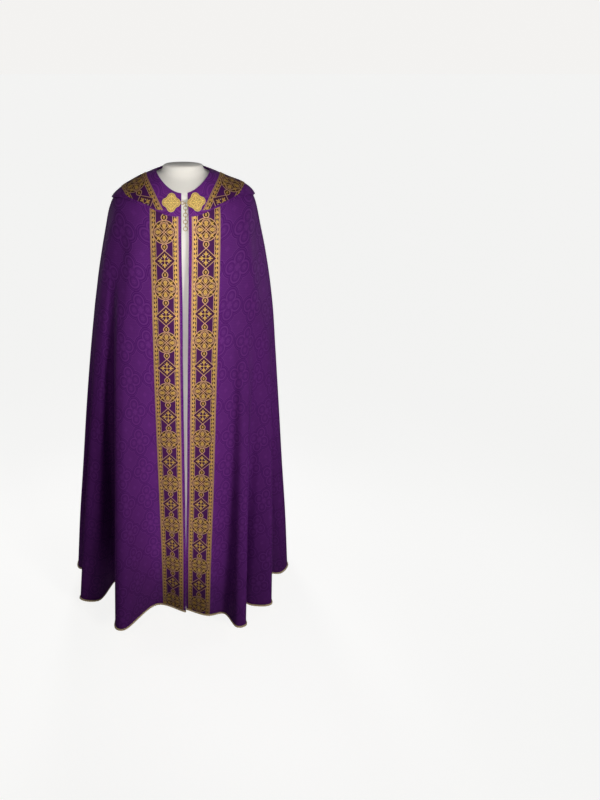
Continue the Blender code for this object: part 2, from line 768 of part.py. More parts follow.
def ring_path(centre, radius, across, up):
    """Points round a wire ring."""
    path = []
    for k in range(RING_SIDES):
        angle = 2.0 * math.pi * k / RING_SIDES
        path.append(centre + radius * (math.cos(angle) * across + math.sin(angle) * up))
    return path


def build_clasp():
    """The two plates, the eye and hook between them and the hanging chain."""
    left = build_plate("clasp_plate_left", PLATE_LEFT_X, 0.0)
    right = build_plate("clasp_plate_right", PLATE_RIGHT_X, PLATE_RIGHT_TILT)
    x_axis = np.array((1.0, 0.0, 0.0))
    y_axis = np.array((0.0, 1.0, 0.0))
    z_axis = np.array((0.0, 0.0, 1.0))
    front = min(left[1], right[1]) - CLASP_STANDOFF
    height = 0.5 * (left[2] + right[2])
    eye_x = PLATE_LEFT_X + PLATE_TIP + SEAM_GAP + WIRE_RADIUS + EYE_RADIUS
    eye = np.array((eye_x, front, height))
    tube("clasp_eye", ring_path(eye, EYE_RADIUS, x_axis, z_axis), WIRE_RADIUS, WIRE_SIDES,
         "gold metal", looped=True, metallic=1.0, roughness=0.3)
    step_out = 2.0 * WIRE_RADIUS + SEAM_GAP
    end_x = PLATE_RIGHT_X - PLATE_TIP - SEAM_GAP
    bar = front - step_out
    hook = [(x, bar, height) for x in (end_x, CHAIN_X + WIRE_RADIUS, eye_x + EYE_RADIUS)]
    hook += [(eye_x + along, bar + back, height) for along, back in HOOK_CURL]
    tube("clasp_hook", hook, WIRE_RADIUS, WIRE_SIDES, "gold metal", metallic=1.0, roughness=0.3)
    pitch = 2.0 * RING_RADIUS - 2.0 * WIRE_RADIUS - SEAM_GAP
    top = height + 2.0 * WIRE_RADIUS + SEAM_GAP - RING_RADIUS
    for index in range(RING_COUNT):
        centre = np.array((CHAIN_X, front - step_out, top - index * pitch))
        across = y_axis if index % 2 == 0 else x_axis
        tube(f"chain_ring_{index + 1}", ring_path(centre, RING_RADIUS, across, z_axis),
             WIRE_RADIUS, WIRE_SIDES, "gold metal", looped=True, metallic=1.0, roughness=0.3)


def build_drop():
    """The clear drop that hangs from the tip of the hood on a short cord."""
    edge = hood_edge(math.pi)
    tip = hood_point(math.pi, edge, 0.5 * HOOD_THICK)
    start = tip + np.array((0.0, 0.0, -TIP_BELOW))
    lean = body_point(math.pi, edge + 1.0) - body_point(math.pi, edge)
    lean = lean / np.linalg.norm(lean)
    end = start + CORD_LENGTH * lean
    middle = 0.5 * (start + end)
    tube("tip_cord", [start, middle, end], CORD_RADIUS, WIRE_SIDES, "purple cord")
    across = np.array((1.0, 0.0, 0.0))
    depth = np.cross(lean, across)
    offset = end
    for name, profile in (("tip_drop_upper", UPPER_PROFILE), ("tip_drop_lower", LOWER_PROFILE)):
        offset = offset + SEAM_GAP * lean
        points = []
        for along, scale in profile:
            for k in range(DROP_SIDES):
                angle = 2.0 * math.pi * k / DROP_SIDES
                flat = math.cos(angle) * across + math.sin(angle) * depth
                points.append(offset + along * lean + scale * DROP_RADIUS * flat)
        faces = stacked_faces(len(profile), DROP_SIDES)
        add_object(name, points, faces, "clear acrylic", roughness=0.08)
        offset = offset + profile[-1][0] * lean


def main():
    """Build every piece."""
    clear_scene()
    build_form()
    build_mantle()
    build_hood()
    build_hood_bands()
    build_clasp()
    build_drop()


main()
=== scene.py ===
"""Looks of a purple damask cope with gold galloon orphreys, standing on a dress form.

Units are metres and +Z is up. The origin is the centre of the form's flat base and the
opening faces -Y. Turn is the angle round the body, 0 at the front and 90 degrees at its
left, which is -X. Level counts the rings of the cut from the neck down to the hem.
"""

import logging
import math
from collections.abc import Callable
from dataclasses import dataclass
from enum import Enum

import bpy
import numpy as np
from mathutils import Matrix, Vector


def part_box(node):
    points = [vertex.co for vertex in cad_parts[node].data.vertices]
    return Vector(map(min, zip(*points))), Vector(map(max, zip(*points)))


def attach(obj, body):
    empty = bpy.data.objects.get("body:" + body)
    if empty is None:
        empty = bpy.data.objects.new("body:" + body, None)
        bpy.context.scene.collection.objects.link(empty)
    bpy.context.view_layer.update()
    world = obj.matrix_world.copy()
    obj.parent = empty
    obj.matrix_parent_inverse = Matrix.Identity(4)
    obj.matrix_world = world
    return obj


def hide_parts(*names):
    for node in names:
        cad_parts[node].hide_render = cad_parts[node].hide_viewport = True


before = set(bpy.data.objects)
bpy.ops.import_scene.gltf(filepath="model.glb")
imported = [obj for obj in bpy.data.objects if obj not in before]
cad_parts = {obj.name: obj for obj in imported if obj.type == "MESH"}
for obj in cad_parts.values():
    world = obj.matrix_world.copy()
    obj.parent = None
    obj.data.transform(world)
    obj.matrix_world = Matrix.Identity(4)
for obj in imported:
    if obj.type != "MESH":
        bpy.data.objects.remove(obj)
log = logging.getLogger("cope")

Array = np.ndarray
Columns = dict[str, Array]
Material = bpy.types.Material
Piece = bpy.types.Object
Socket = bpy.types.NodeSocket
Pair = tuple[float, float]
Triple = tuple[float, float, float]
Colour = Triple

CUT_MAP = "cut"
# Point attribute with the height of a cast piece's relief; its finish paints highlight and shade from
# it.
DEPTH_MAP = "relief"
MM = 1000.0

# Sockets of a Mix node that is set to colours.
MIX_UNDER = 6
MIX_OVER = 7
MIX_RESULT = 2

# Sharpest turn between two faces that is still shaded smooth.
SMOOTH_CLOTH = math.radians(62.0)
SMOOTH_METAL = math.radians(40.0)
SMOOTH_DROP = math.radians(30.0)

# Room between the mantle and the hood: at the neck, and from the rise level down.
HOOD_NECK_CLEAR = 0.0012
HOOD_BODY_CLEAR = 0.0034
HOOD_RISE_LEVELS = 2.0


# ---- node arithmetic


class Shade:
    """A number that a material works out at each point, with arithmetic made of nodes."""

    def __init__(self, tree: bpy.types.NodeTree, socket: Socket) -> None:
        """Wrap an output socket of a node tree."""
        self.tree = tree
        self.socket = socket

    def combine(self, operation: str, *others: "Shade | float") -> "Shade":
        """Put this number first into a Math node.

        Args:
            operation: Name of the Math node's operation.
            others: Its further inputs, as shades or plain numbers.

        Returns:
            The node's result.
        """
        node = self.tree.nodes.new("ShaderNodeMath")
        node.operation = operation
        for index, value in enumerate((self, *others)):
            if isinstance(value, Shade):
                self.tree.links.new(value.socket, node.inputs[index])
            else:
                node.inputs[index].default_value = value
        return Shade(self.tree, node.outputs[0])

    def __add__(self, other: "Shade | float") -> "Shade":
        """Sum."""
        return self.combine("ADD", other)

    def __sub__(self, other: "Shade | float") -> "Shade":
        """Difference."""
        return self.combine("SUBTRACT", other)

    def __rsub__(self, other: float) -> "Shade":
        """Difference from a number on the left."""
        return self.combine("MULTIPLY_ADD", -1.0, other)

    def __mul__(self, other: "Shade | float") -> "Shade":
        """Product."""
        return self.combine("MULTIPLY", other)

    def abs(self) -> "Shade":
        """Size without its sign."""
        return self.combine("ABSOLUTE")

    def wave(self, rate: float) -> "Shade":
        """Wave between 0 and 1 that turns by this many radians in each unit."""
        return (self * rate).combine("SINE") * 0.5 + 0.5

    def petals(self, other: "Shade", count: float) -> "Shade":
        """Cosine that swings this many times round the point where both components are 0."""
        return (self.combine("ARCTAN2", other) * count).combine("COSINE")

    def low(self, other: "Shade | float") -> "Shade":
        """The smaller of the two."""
        return self.combine("MINIMUM", other)

    def high(self, *others: "Shade | float") -> "Shade":
        """Find the largest.

        Args:
            others: What this number is compared with.

        Returns:
            The largest of them all.
        """
        largest = self
        for other in others:
            largest = largest.combine("MAXIMUM", other)
        return largest

    def reach(self, other: "Shade") -> "Shade":
        """Length of the vector with these two components."""
        return (self * self + other * other).combine("SQRT")

    def repeat(self, period: float, start: float = 0.0) -> "Shade":
        """Distance from the nearest of the marks that stand a period apart.

        Args:
            period: Distance between two marks.
            start: Place of one of the marks.

        Returns:
            Signed distance, from minus to plus half a period.
        """
        return (self + (0.5 * period - start)).combine("FLOORED_MODULO", period) - 0.5 * period

    def under(self, limit: float, soft: float) -> "Shade":
        """Mask that is 1 below a limit and 0 above it.

        Args:
            limit: Value at which the mask is one half.
            soft: Half-width of the change.

        Returns:
            The mask.
        """
        node = self.tree.nodes.new("ShaderNodeMapRange")
        node.interpolation_type = "SMOOTHSTEP"
        self.tree.links.new(self.socket, node.inputs["Value"])
        node.inputs["From Min"].default_value = limit - soft
        node.inputs["From Max"].default_value = limit + soft
        node.inputs["To Min"].default_value = 1.0
        node.inputs["To Max"].default_value = 0.0
        return Shade(self.tree, node.outputs["Result"])

    def near(self, value: float, half: float, soft: float) -> "Shade":
        """Mask of the strip that reaches half its width to either side of a value."""
        return (self - value).abs().under(half, soft)

    def choose(self, inside: "Shade", outside: "Shade") -> "Shade":
        """Blend two numbers with this mask: inside where it is 1 and outside where it is 0."""
        return outside + (inside - outside) * self

    def without(self, mask: "Shade") -> "Shade":
        """This mask with another one cut out of it."""
        return self * (1.0 - mask)


@dataclass
class Chart:
    """The drawing board of one material: its nodes, its coordinates and its shader."""

    name: str

    def __post_init__(self) -> None:
        """Make the material and find its shader."""
        self.material = bpy.data.materials.new(self.name)
        self.material.use_nodes = True
        self.tree = self.material.node_tree
        self.shader = self.tree.nodes["Principled BSDF"]

    def cut_place(self) -> tuple[Shade, Shade]:
        """Read the place on the flat cut.

        Returns:
            Millimetres across and along.
        """
        node = self.tree.nodes.new("ShaderNodeUVMap")
        node.uv_map = CUT_MAP
        split = self.tree.nodes.new("ShaderNodeSeparateXYZ")
        self.tree.links.new(node.outputs["UV"], split.inputs[0])
        return (Shade(self.tree, split.outputs[0]) * MM, Shade(self.tree, split.outputs[1]) * MM)

    def object_place(self) -> Socket:
        """Return the Object coordinates."""
        return self.tree.nodes.new("ShaderNodeTexCoord").outputs["Object"]

    def noise(self, scale: float, detail: float = 2.0) -> Shade:
        """Return cloudy noise on Object coordinates, about 0 to 1.

        Args:
            scale: Clouds per metre.
            detail: Octaves.

        Returns:
            The noise.
        """
        node = self.tree.nodes.new("ShaderNodeTexNoise")
        node.inputs["Scale"].default_value = scale
        node.inputs["Detail"].default_value = detail
        self.tree.links.new(self.object_place(), node.inputs["Vector"])
        return Shade(self.tree, node.outputs["Fac"])

    def blend(self, mask: Shade, under: Colour | Socket, over: Colour) -> Socket:
        """Lay a colour over another one where a mask says so.

        Args:
            mask: Where the upper colour shows.
            under: The lower colour.
            over: The upper colour.

        Returns:
            The blended colour.
        """
        node = self.tree.nodes.new("ShaderNodeMix")
        node.data_type = "RGBA"
        self.tree.links.new(mask.socket, node.inputs["Factor"])
        if isinstance(under, tuple):
            node.inputs[MIX_UNDER].default_value = (*under, 1.0)
        else:
            self.tree.links.new(under, node.inputs[MIX_UNDER])
        node.inputs[MIX_OVER].default_value = (*over, 1.0)
        return node.outputs[MIX_RESULT]

    def toned(self, colour: Socket, value: Shade) -> Socket:
        """Scale a colour's brightness.

        Args:
            colour: The colour.
            value: What it is multiplied by.

        Returns:
            The scaled colour.
        """
        node = self.tree.nodes.new("ShaderNodeHueSaturation")
        self.tree.links.new(colour, node.inputs["Color"])
        self.tree.links.new(value.socket, node.inputs["Value"])
        return node.outputs["Color"]

    def drive(self, socket: str, value: Shade | Socket | float | tuple) -> None:
        """Feed one of the shader's inputs.

        Args:
            socket: Name of the input.
            value: A node's result, or a plain number or colour for the socket itself.
        """
        target = self.shader.inputs[socket]
        if isinstance(value, Shade):
            self.tree.links.new(value.socket, target)
        elif isinstance(value, Socket):
            self.tree.links.new(value, target)
        else:
            target.default_value = (*value, 1.0) if isinstance(value, tuple) else value

    def emboss(self, height: Shade, distance: float, strength: float = 1.0) -> None:
        """Raise the surface by a height map.

        Args:
            height: Height, 0 to 1.
            distance: Real height of 1, in metres.
            strength: Share of the effect.
        """
        node = self.tree.nodes.new("ShaderNodeBump")
        node.inputs["Distance"].default_value = distance
        node.inputs["Strength"].default_value = strength
        self.tree.links.new(height.socket, node.inputs["Height"])
        self.tree.links.new(node.outputs["Normal"], self.shader.inputs["Normal"])


# ---- finishes


@dataclass(frozen=True)
class Damask:
    """Purple silk damask of quatrefoils and cusped lozenges, tone on tone, in millimetres."""

    name: str = "purple_damask"
    ground: Colour = (0.084, 0.0125, 0.141)
    figure: Colour = (0.160, 0.0300, 0.230)
    repeat: float = 108.0
    lobe_reach: float = 26.0
    lobe_radius: float = 17.5
    heart_radius: float = 18.6
    wheel_radius: float = 12.6
    flower_radius: float = 6.2
    eye_radius: float = 1.8
    rosette_radius: float = 8.5
    # lines round the quatrefoil: distance outside its outline, width
    rim_line: Pair = (0.0, 3.4)
    fine_line: Pair = (7.8, 1.5)
    inner_shadow: Pair = (4.9, 2.0)
    outer_shadow: Pair = (10.3, 2.2)
    frame_line: Pair = (12.6, 1.9)
    lozenge_from: float = 11.6
    seed_pitch: float = 4.6
    warp_rate: float = 7.4
    weft_rate: float = 5.1
    ground_rough: float = 0.60
    figure_rough: float = 0.42

    def line(self, distance: Shade, at: float, width: float) -> Shade:
        """Draw a line that runs a distance outside an outline.

        Args:
            distance: Signed distance from the outline.
            at: Distance at which the line runs.
            width: Its width.

        Returns:
            Its mask.
        """
        return distance.near(at, 0.5 * width, 0.35)

    def lobes(self, x: Shade, y: Shade) -> Shade:
        """Draw the wheel and the small flower inside each lobe, and the rosette between them.

        Args:
            x: Distance from the quatrefoil's centre, across.
            y: The same, along.

        Returns:
            Brightness to add, with either sign.
        """
        far = x.high(y)
        near = x.low(y)
        out = far - self.lobe_reach
        ring = out.reach(near)
        flower = (ring - near.petals(out, 6.0) * 2.0).under(self.flower_radius, 0.5)
        eye = ring.under(self.eye_radius, 0.4)
        wheel = ring.near(self.wheel_radius, 0.9, 0.35)
        centre = x.reach(y)
        rosette = (centre - y.petals(x, 4.0) * 2.6).under(self.rosette_radius, 0.5)
        stem = self.line(x - y, 0.0, 1.8) * (1.0 - centre.under(5.0, 0.5)) * centre.under(15.0, 0.5)
        return flower.high(rosette, stem) * 0.40 - wheel * 0.35 - eye * 0.40

    def lozenge(self, x: Shade, y: Shade) -> Shade:
        """Draw the close small leaves that fill the lozenge between four quatrefoils.

        Args:
            x: Distance from the quatrefoil's centre, across.
            y: The same, along.

        Returns:
            Brightness to add, with either sign.
        """
        px = 0.5 * self.repeat - x
        py = 0.5 * self.repeat - y
        fan = px.reach(py)
        bloom = (fan - py.petals(px, 4.0) * 2.2).under(7.0, 0.5)
        seed = px.repeat(self.seed_pitch).reach(py.repeat(self.seed_pitch)).under(1.25, 0.35)
        return bloom * 0.35 + seed.without(bloom) * 0.45

    def brightness(self, chart: Chart) -> Shade:
        """Draw one repeat of the damask.

        Args:
            chart: The material that it is drawn on.

        Returns:
            How much of the satin shows, 0 to 1.
        """
        across, along = chart.cut_place()
        x = across.repeat(self.repeat).abs()
        y = along.repeat(self.repeat).abs()
        lobe = (x.high(y) - self.lobe_reach).reach(x.low(y)) - self.lobe_radius
        rim = lobe.low(x.reach(y) - self.heart_radius)
        bright = self.line(rim, *self.rim_line).high(self.line(rim, *self.fine_line) * 0.5)
        dark = self.line(rim, *self.inner_shadow).high(self.line(rim, *self.outer_shadow))
        outside = 1.0 - rim.under(self.lozenge_from, 0.3)
        edge = self.line(rim, *self.frame_line) * outside
        inside = rim.under(-1.8, 0.3)
        drawn = self.lobes(x, y) * inside + self.lozenge(x, y) * outside.without(edge)
        return (drawn + bright * 0.48 + edge * 0.66 - dark * 0.44 + 0.44).high(0.0)

    def make(self) -> Material:
        """Build the material: satin figures, duller ground, fine weave and soft wear.

        Returns:
            The material.
        """
        chart = Chart(self.name)
        figure = self.brightness(chart)
        across, along = chart.cut_place()
        weave = across.wave(self.warp_rate) * 0.5 + along.wave(self.weft_rate) * 0.5
        cloud = chart.noise(9.0, 3.0)
        colour = chart.blend(figure, self.ground, self.figure)
        value = cloud * 0.24 + 0.88 + (weave - 0.5) * 0.08
        chart.drive("Base Color", chart.toned(colour, value))
        span = self.figure_rough - self.ground_rough
        chart.drive("Roughness", figure * span + self.ground_rough + (cloud - 0.5) * 0.10)
        chart.drive("IOR", 1.22)
        chart.drive("Specular Tint", (0.62, 0.28, 0.80))
        chart.drive("Sheen Weight", 0.05)
        chart.drive("Sheen Roughness", 0.40)
        chart.drive("Sheen Tint", (0.45, 0.16, 0.62))
        chart.emboss(figure * 0.8 + weave * 0.2, 0.00022, 0.6)
        return chart.material


def ovals(x: Shade, y: Shade, *rows: tuple[float, ...]) -> Shade:
    """Draw filled ovals.

    Args:
        x: Place across.
        y: Place along.
        rows: Each one's centre across and along, half-axes and turn in degrees.

    Returns:
        Their mask.
    """
    drawn = None
    for at_x, at_y, length, width, tilt in rows:
        cosine = math.cos(math.radians(tilt))
        sine = math.sin(math.radians(tilt))
        dx = x - at_x
        dy = y - at_y
        long = (dx * cosine + dy * sine) * (1.0 / length)
        wide = (dy * cosine - dx * sine) * (1.0 / width)
        oval = long.reach(wide).under(1.0, 0.3 / min(length, width))
        drawn = drawn.high(oval) if drawn else oval
    return drawn


@dataclass(frozen=True)
class Galloon:
    """Gold galloon: roundels, diamonds and teardrops between two leaf borders, in millimetres."""

    name: str = "gold_galloon"
    repeat: float = 166.0
    first: float = 0.0
    field: Colour = (0.058, 0.0070, 0.080)
    lozenge: Colour = (0.050, 0.0090, 0.042)
    brown: Colour = (0.052, 0.0220, 0.0095)
    pale: Colour = (0.520, 0.290, 0.165)
    rich: Colour = (0.560, 0.335, 0.080)
    pearl: Colour = (0.520, 0.340, 0.270)
    roundel: float = 33.1
    hub: float = 3.1
    diamond_x: float = 32.0
    diamond_y: float = 29.8
    drop_from: float = 41.8
    drop_radius: float = 8.3
    drop_reach: float = 12.2
    leaf_period: float = 13.83
    heart_foot: float = 4.0
    heart_length: float = 22.4
    heart_width: float = 19.4
    heart_scale: float = 20.5
    # circles: centre out and aside, radius
    scroll: Triple = (22.6, 6.4, 2.5)
    pearls: Triple = (9.2, 8.8, 1.9)
    # the stripes, by their distance from the band's middle
    guard_from: float = 26.0
    inner_line: float = 25.4
    guard: float = 31.4
    outer_line: float = 37.4
    twist_line: float = 39.4
    selvedge: float = 40.2
    twist_pitch: float = 2.4
    thread_rate: float = 9.0
    ply_rate: float = 6.0
    # ovals: centre out and aside, half-axes, turn in degrees
    palm: tuple = (16.2, 0.0, 7.4, 1.7, 0.0)
    palm_vein: tuple = ((20.4, 0.0, 1.1, 0.75, 0.0), (15.4, 0.0, 2.4, 0.3, 0.0))
    roundel_fleur: tuple = (
        (26.2, 0.0, 4.9, 1.7, 0.0),
        (23.4, 3.1, 4.0, 1.5, 48.0),
        (19.6, 0.0, 2.6, 0.9, 0.0),
    )
    diamond_fleur: tuple = (
        (15.2, 0.0, 5.6, 2.2, 0.0),
        (11.9, 3.7, 3.6, 1.6, 44.0),
        (14.4, 5.6, 1.3, 1.3, 0.0),
        (7.4, 0.0, 4.2, 1.4, 0.0),
    )
    border_leaf: tuple = ((-0.9, 1.6, 3.3, 3.4, 0.0), (1.2, -1.5, 2.9, 5.0, -34.0))
    # leaflets of the palmette: start on the spine, angle from it, length, half-width
    leaflets: tuple = (
        (24.0, 72.0, 2.4, 1.2),
        (21.6, 58.0, 3.6, 1.5),
        (18.4, 44.0, 3.5, 1.4),
        (15.2, 30.0, 2.9, 1.1),
    )

    def heart(self, out: Shade, side: Shade) -> Shade:
        """Return the distance from a heart's outline, which opens from the roundel's hub.

        Args:
            out: Distance from the hub along the heart.
            side: Distance from its middle line.

        Returns:
            Signed distance in millimetres, negative inside.
        """
        # the outline is a heart of unit size, whose lobes are circles round (0.25, 0.75)
        y = (out - self.heart_foot) * (1.0 / self.heart_length)
        x = side * (1.0 / self.heart_width)
        lobe = (x - 0.25).reach(y - 0.75) - 0.35355
        half = (x + y).high(0.0) * 0.5
        top = x * x + (y - 1.0) * (y - 1.0)
        flank = (x - half) * (x - half) + (y - half) * (y - half)
        point = top.low(flank).combine("SQRT") * (x - y).combine("SIGN")
        return (x + y).under(1.0, 0.001).choose(point, lobe) * self.heart_scale

    def teardrop(self, x: Shade, away: Shade) -> Shade:
        """Return the distance from a teardrop's outline, round at the roundel and pointed beyond.

        Args:
            x: Distance from the band's middle.
            away: Distance from the nearest roundel's centre.

        Returns:
            Signed distance in millimetres, negative inside.
        """
        t = away - self.drop_from
        cosine = self.drop_radius / self.drop_reach
        sine = math.sqrt(1.0 - cosine * cosine)
        bulb = x.reach(t) - self.drop_radius
        flank = x * sine + t * cosine - self.drop_radius
        return (x * cosine - t * sine).under(0.0, 0.001).choose(flank, bulb)

    def inside_roundel(self, x: Shade, away: Shade) -> tuple[Shade, Shade]:
        """Draw the four hearts with their palmettes, the hub and the fleurs between them.

        Args:
            x: Distance from the band's middle.
            away: Distance along from the roundel's centre.

        Returns:
            Masks of the pale outlines and of the rich fillings.
        """
        out = x.high(away)
        side = x.low(away)
        heart = self.heart(out, side)
        radius = x.reach(away)
        pale = heart.abs().under(0.95, 0.25).high(radius.near(self.hub, 0.9, 0.25))
        at_out, at_side, curl = self.scroll
        scroll = (out - at_out).reach(side - at_side).near(curl, 0.75, 0.25)
        pale = pale.high(scroll * (1.0 - heart.under(-0.5, 0.3) * out.under(20.6, 0.3)))
        leaves = [self.palm]
        for start, splay, length, width in self.leaflets:
            turn = math.radians(splay)
            at = (start - length * math.cos(turn), length * math.sin(turn))
            leaves.append((*at, length, width, 180.0 - splay))
        palm = ovals(out, side, *leaves).without(ovals(out, side, *self.palm_vein))
        slope = (x + away) * 0.70711
        off = (x - away).abs() * 0.70711
        return pale, palm.high(ovals(slope, off, *self.roundel_fleur))

    def inside_diamond(self, x: Shade, b: Shade) -> tuple[Shade, Shade]:
        """Draw the cross of four fleurs and its four pearls.

        Args:
            x: Distance from the band's middle.
            b: Distance along from the diamond's centre.

        Returns:
            Masks of the rich fleurs and of the pearls.
        """
        out = x.high(b)
        side = x.low(b)
        fleur = ovals(out, side, *self.diamond_fleur)
        hub = x.reach(b).under(2.6, 0.3)
        at_x, at_b, size = self.pearls
        pearl = (x - at_x).reach(b - at_b).under(size, 0.3)
        return fleur.high(hub), pearl

    def border(self, x: Shade, b: Shade) -> tuple[Shade, Shade]:
        """Draw the curled leaves and the small beads of the guard stripe.

        Args:
            x: Distance from the band's middle.
            b: Distance along from the nearest diamond's centre.

        Returns:
            Masks of the rich leaves and of the pearls.
        """
        s = b.repeat(self.leaf_period, 0.52 * self.leaf_period)
        w = x - self.guard
        leaf = ovals(w, s, *self.border_leaf)
        eye = ovals(w, s, (-1.3, 1.7, 0.85, 1.05, 0.0))
        bead = ovals(w, s.abs(), (0.2, 0.5 * self.leaf_period, 1.15, 1.15, 0.0))
        return leaf.without(eye), bead

    def make(self) -> Material:
        """Build the material from its charted masks.

        Returns:
            The material.
        """
        chart = Chart(self.name)
        across, along = chart.cut_place()
        x = across.abs()
        away = along.repeat(self.repeat, self.first).abs()
        b = 0.5 * self.repeat - away
        radius = x.reach(away)
        in_round = radius.under(self.roundel + 1.15, 0.2)
        rim = radius.near(self.roundel, 1.15, 0.25)
        slant = (x * (1.0 / self.diamond_x) + b * (1.0 / self.diamond_y) - 1.0) * 21.8
        in_diamond = slant.under(1.0, 0.2)
        frame_line = slant.abs().under(1.0, 0.25)
        drop = self.teardrop(x, away)
        in_drop = drop.under(1.3, 0.2).without(in_round).without(in_diamond)
        drop_line = drop.abs().under(1.3, 0.25).without(in_round).without(in_diamond)
        gem = ovals(x, away, (0.0, self.drop_from + 0.4, 2.6, 4.3, 0.0))
        gem = gem.without(ovals(x, away, (0.0, self.drop_from + 0.4, 0.9, 1.6, 0.0))) * in_drop
        covered = in_round.high(in_diamond)
        inner_line = x.near(self.inner_line, 0.95, 0.2).without(covered)
        outer_line = x.near(self.outer_line, 1.15, 0.2)
        selvedge = 1.0 - x.under(self.selvedge, 0.2)
        twist = along.repeat(self.twist_pitch).reach(x - self.twist_line).under(0.75, 0.2)
        hearts, palms = self.inside_roundel(x, away)
        fleurs, pearls = self.inside_diamond(x, b)
        leaves, beads = self.border(x, b)
        in_guard = x.near(self.guard, 5.0, 0.2).without(covered)
        pale = rim.high(frame_line, drop_line, inner_line, outer_line, selvedge, hearts * in_round)
        rich = (palms * in_round).high(fleurs * in_diamond, leaves * in_guard, gem, twist)
        pearl = (pearls * in_diamond).high(beads * in_guard)
        brown = (1.0 - x.under(self.guard_from, 0.2)).without(in_diamond).high(in_round, in_drop)
        colour = chart.blend(in_diamond, self.field, self.lozenge)
        colour = chart.blend(brown, colour, self.brown)
        colour = chart.blend(rich, colour, self.rich)
        colour = chart.blend(pearl, colour, self.pearl)
        colour = chart.blend(pale, colour, self.pale)
        gold = pale.high(rich, pearl)
        thread = along.wave(self.thread_rate)
        ply = across.wave(self.ply_rate)
        cloud = chart.noise(60.0, 2.0)
        value = gold * (thread - 0.5) * 0.22 + (cloud - 0.5) * 0.30 + 1.0
        chart.drive("Base Color", chart.toned(colour, value))
        chart.drive("Metallic", gold * 0.35)
        chart.drive("Roughness", gold.choose(cloud * 0.14 + 0.36, cloud * 0.10 + 0.60))
        chart.drive("Specular IOR Level", 0.12)
        chart.emboss(gold * 0.7 + thread * 0.2 + ply * 0.1, 0.00035, 0.7)
        return chart.material


class Working(Enum):
    """How a piece of metal was worked."""

    CAST = "cast"
    WIRE = "wire"


@dataclass(frozen=True)
class Metal:
    """Gilt brass; a cast piece has a painted highlight on its high places and painted shade in its
    sunk field.
    """

    working: Working = Working.WIRE
    bright: Colour = (1.0, 0.77, 0.26)
    dark: Colour = (0.36, 0.19, 0.03)
    pale: Colour = (0.78, 0.62, 0.33)
    rough: float = 0.30

    def make(self) -> Material:
        """Build the material; a cast piece gets its painted highlight and painted shade from the
        depth that its mesh records.

        Returns:
            The material.
        """
        chart = Chart(f"gold_metal_{self.working.value}")
        cloud = chart.noise(420.0, 3.0)
        if self.working is Working.CAST:
            depth = chart.tree.nodes.new("ShaderNodeAttribute")
            depth.attribute_name = DEPTH_MAP
            high_place = Shade(chart.tree, depth.outputs["Fac"])
            punched = chart.noise(1500.0, 1.0).under(0.5, 0.08)
            # painted light: the high places take the bright colour as a painted highlight, and the
            # sunk field takes the dark colour as painted shade, a little lighter on the raised
            # punched grain
            lit = high_place.choose(cloud * 0.2 + 0.85, punched * 0.45 + 0.20)
            chart.drive("Base Color", chart.blend(lit, self.dark, self.bright))
            chart.emboss(punched.without(high_place), 0.00025, 0.8)
        else:
            chart.drive("Base Color", chart.blend(cloud * 0.5 + 0.20, self.dark, self.pale))
            chart.emboss(cloud, 0.00010, 0.4)
        chart.drive("Metallic", 0.45 if self.working is Working.CAST else 0.85)
        chart.drive("Roughness", cloud * 0.16 + self.rough)
        return chart.material


@dataclass(frozen=True)
class Piping:
    """Pale gold cord of two plies, twisted, seen along its own length."""

    name: str = "gold_piping"
    pale: Colour = (1.0, 0.80, 0.50)
    dark: Colour = (0.86, 0.64, 0.36)
    twist: float = 6.0
    slant: float = 0.45
    ply_height: float = 0.0007

    def make(self) -> Material:
        """Build the material: slanting plies on the piping's own length and girth.

        Returns:
            The material.
        """
        chart = Chart(self.name)
        girth, length = chart.cut_place()
        run = length + girth * self.slant
        ply = run.wave(2.0 * math.pi / self.twist)
        lay = ply * 0.8 + run.wave(8.0 * math.pi / self.twist) * 0.2
        # painted shade: the colour follows the same relief as the bump, dark in the grooves between
        # the plies
        chart.drive("Base Color", chart.blend(lay, self.dark, self.pale))
        chart.drive("Metallic", 0.10)
        chart.drive("Roughness", 0.45 - ply * 0.1)
        chart.emboss(lay, self.ply_height, 0.9)
        return chart.material


@dataclass(frozen=True)
class FormCloth:
    """Cream stretch cloth over the padded dress form."""

    name: str = "cream_form"
    light: Colour = (0.92, 0.895, 0.83)
    shade: Colour = (0.87, 0.835, 0.765)

    def make(self) -> Material:
        """Build the material: fine knit and faint soiling.

        Returns:
            The material.
        """
        chart = Chart(self.name)
        cloud = chart.noise(7.0, 4.0)
        knit = chart.noise(1400.0, 1.0)
        chart.drive("Base Color", chart.blend(cloud, self.shade, self.light))
        chart.drive("Roughness", knit * 0.1 + 0.80)
        chart.drive("Sheen Weight", 0.25)
        chart.emboss(knit, 0.0003, 0.5)
        return chart.material


@dataclass(frozen=True)
class Thread:
    """Purple twisted thread."""

    name: str = "purple_cord"
    colour: Colour = (0.16, 0.035, 0.26)
    shade: Colour = (0.08, 0.012, 0.14)

    def make(self) -> Material:
        """Build the material: light and dark fibres, twisted together.

        Returns:
            The material.
        """
        chart = Chart(self.name)
        cloud = chart.noise(900.0, 2.0)
        chart.drive("Base Color", chart.blend(cloud, self.shade, self.colour))
        chart.drive("Roughness", cloud * 0.2 + 0.5)
        chart.emboss(cloud, 0.0002, 0.6)
        return chart.material


@dataclass(frozen=True)
class Acrylic:
    """Clear acrylic with the faint clouding of turned plastic."""

    name: str = "clear_acrylic"
    tint: Colour = (0.97, 0.97, 1.0)

    def make(self) -> Material:
        """Build the material: clear and glossy, with faint clouds.

        Returns:
            The material.
        """
        chart = Chart(self.name)
        cloud = chart.noise(160.0, 2.0)
        chart.drive("Base Color", self.tint)
        chart.drive("Transmission Weight", 1.0)
        chart.drive("IOR", 1.49)
        chart.drive("Roughness", cloud * 0.06 + 0.02)
        return chart.material


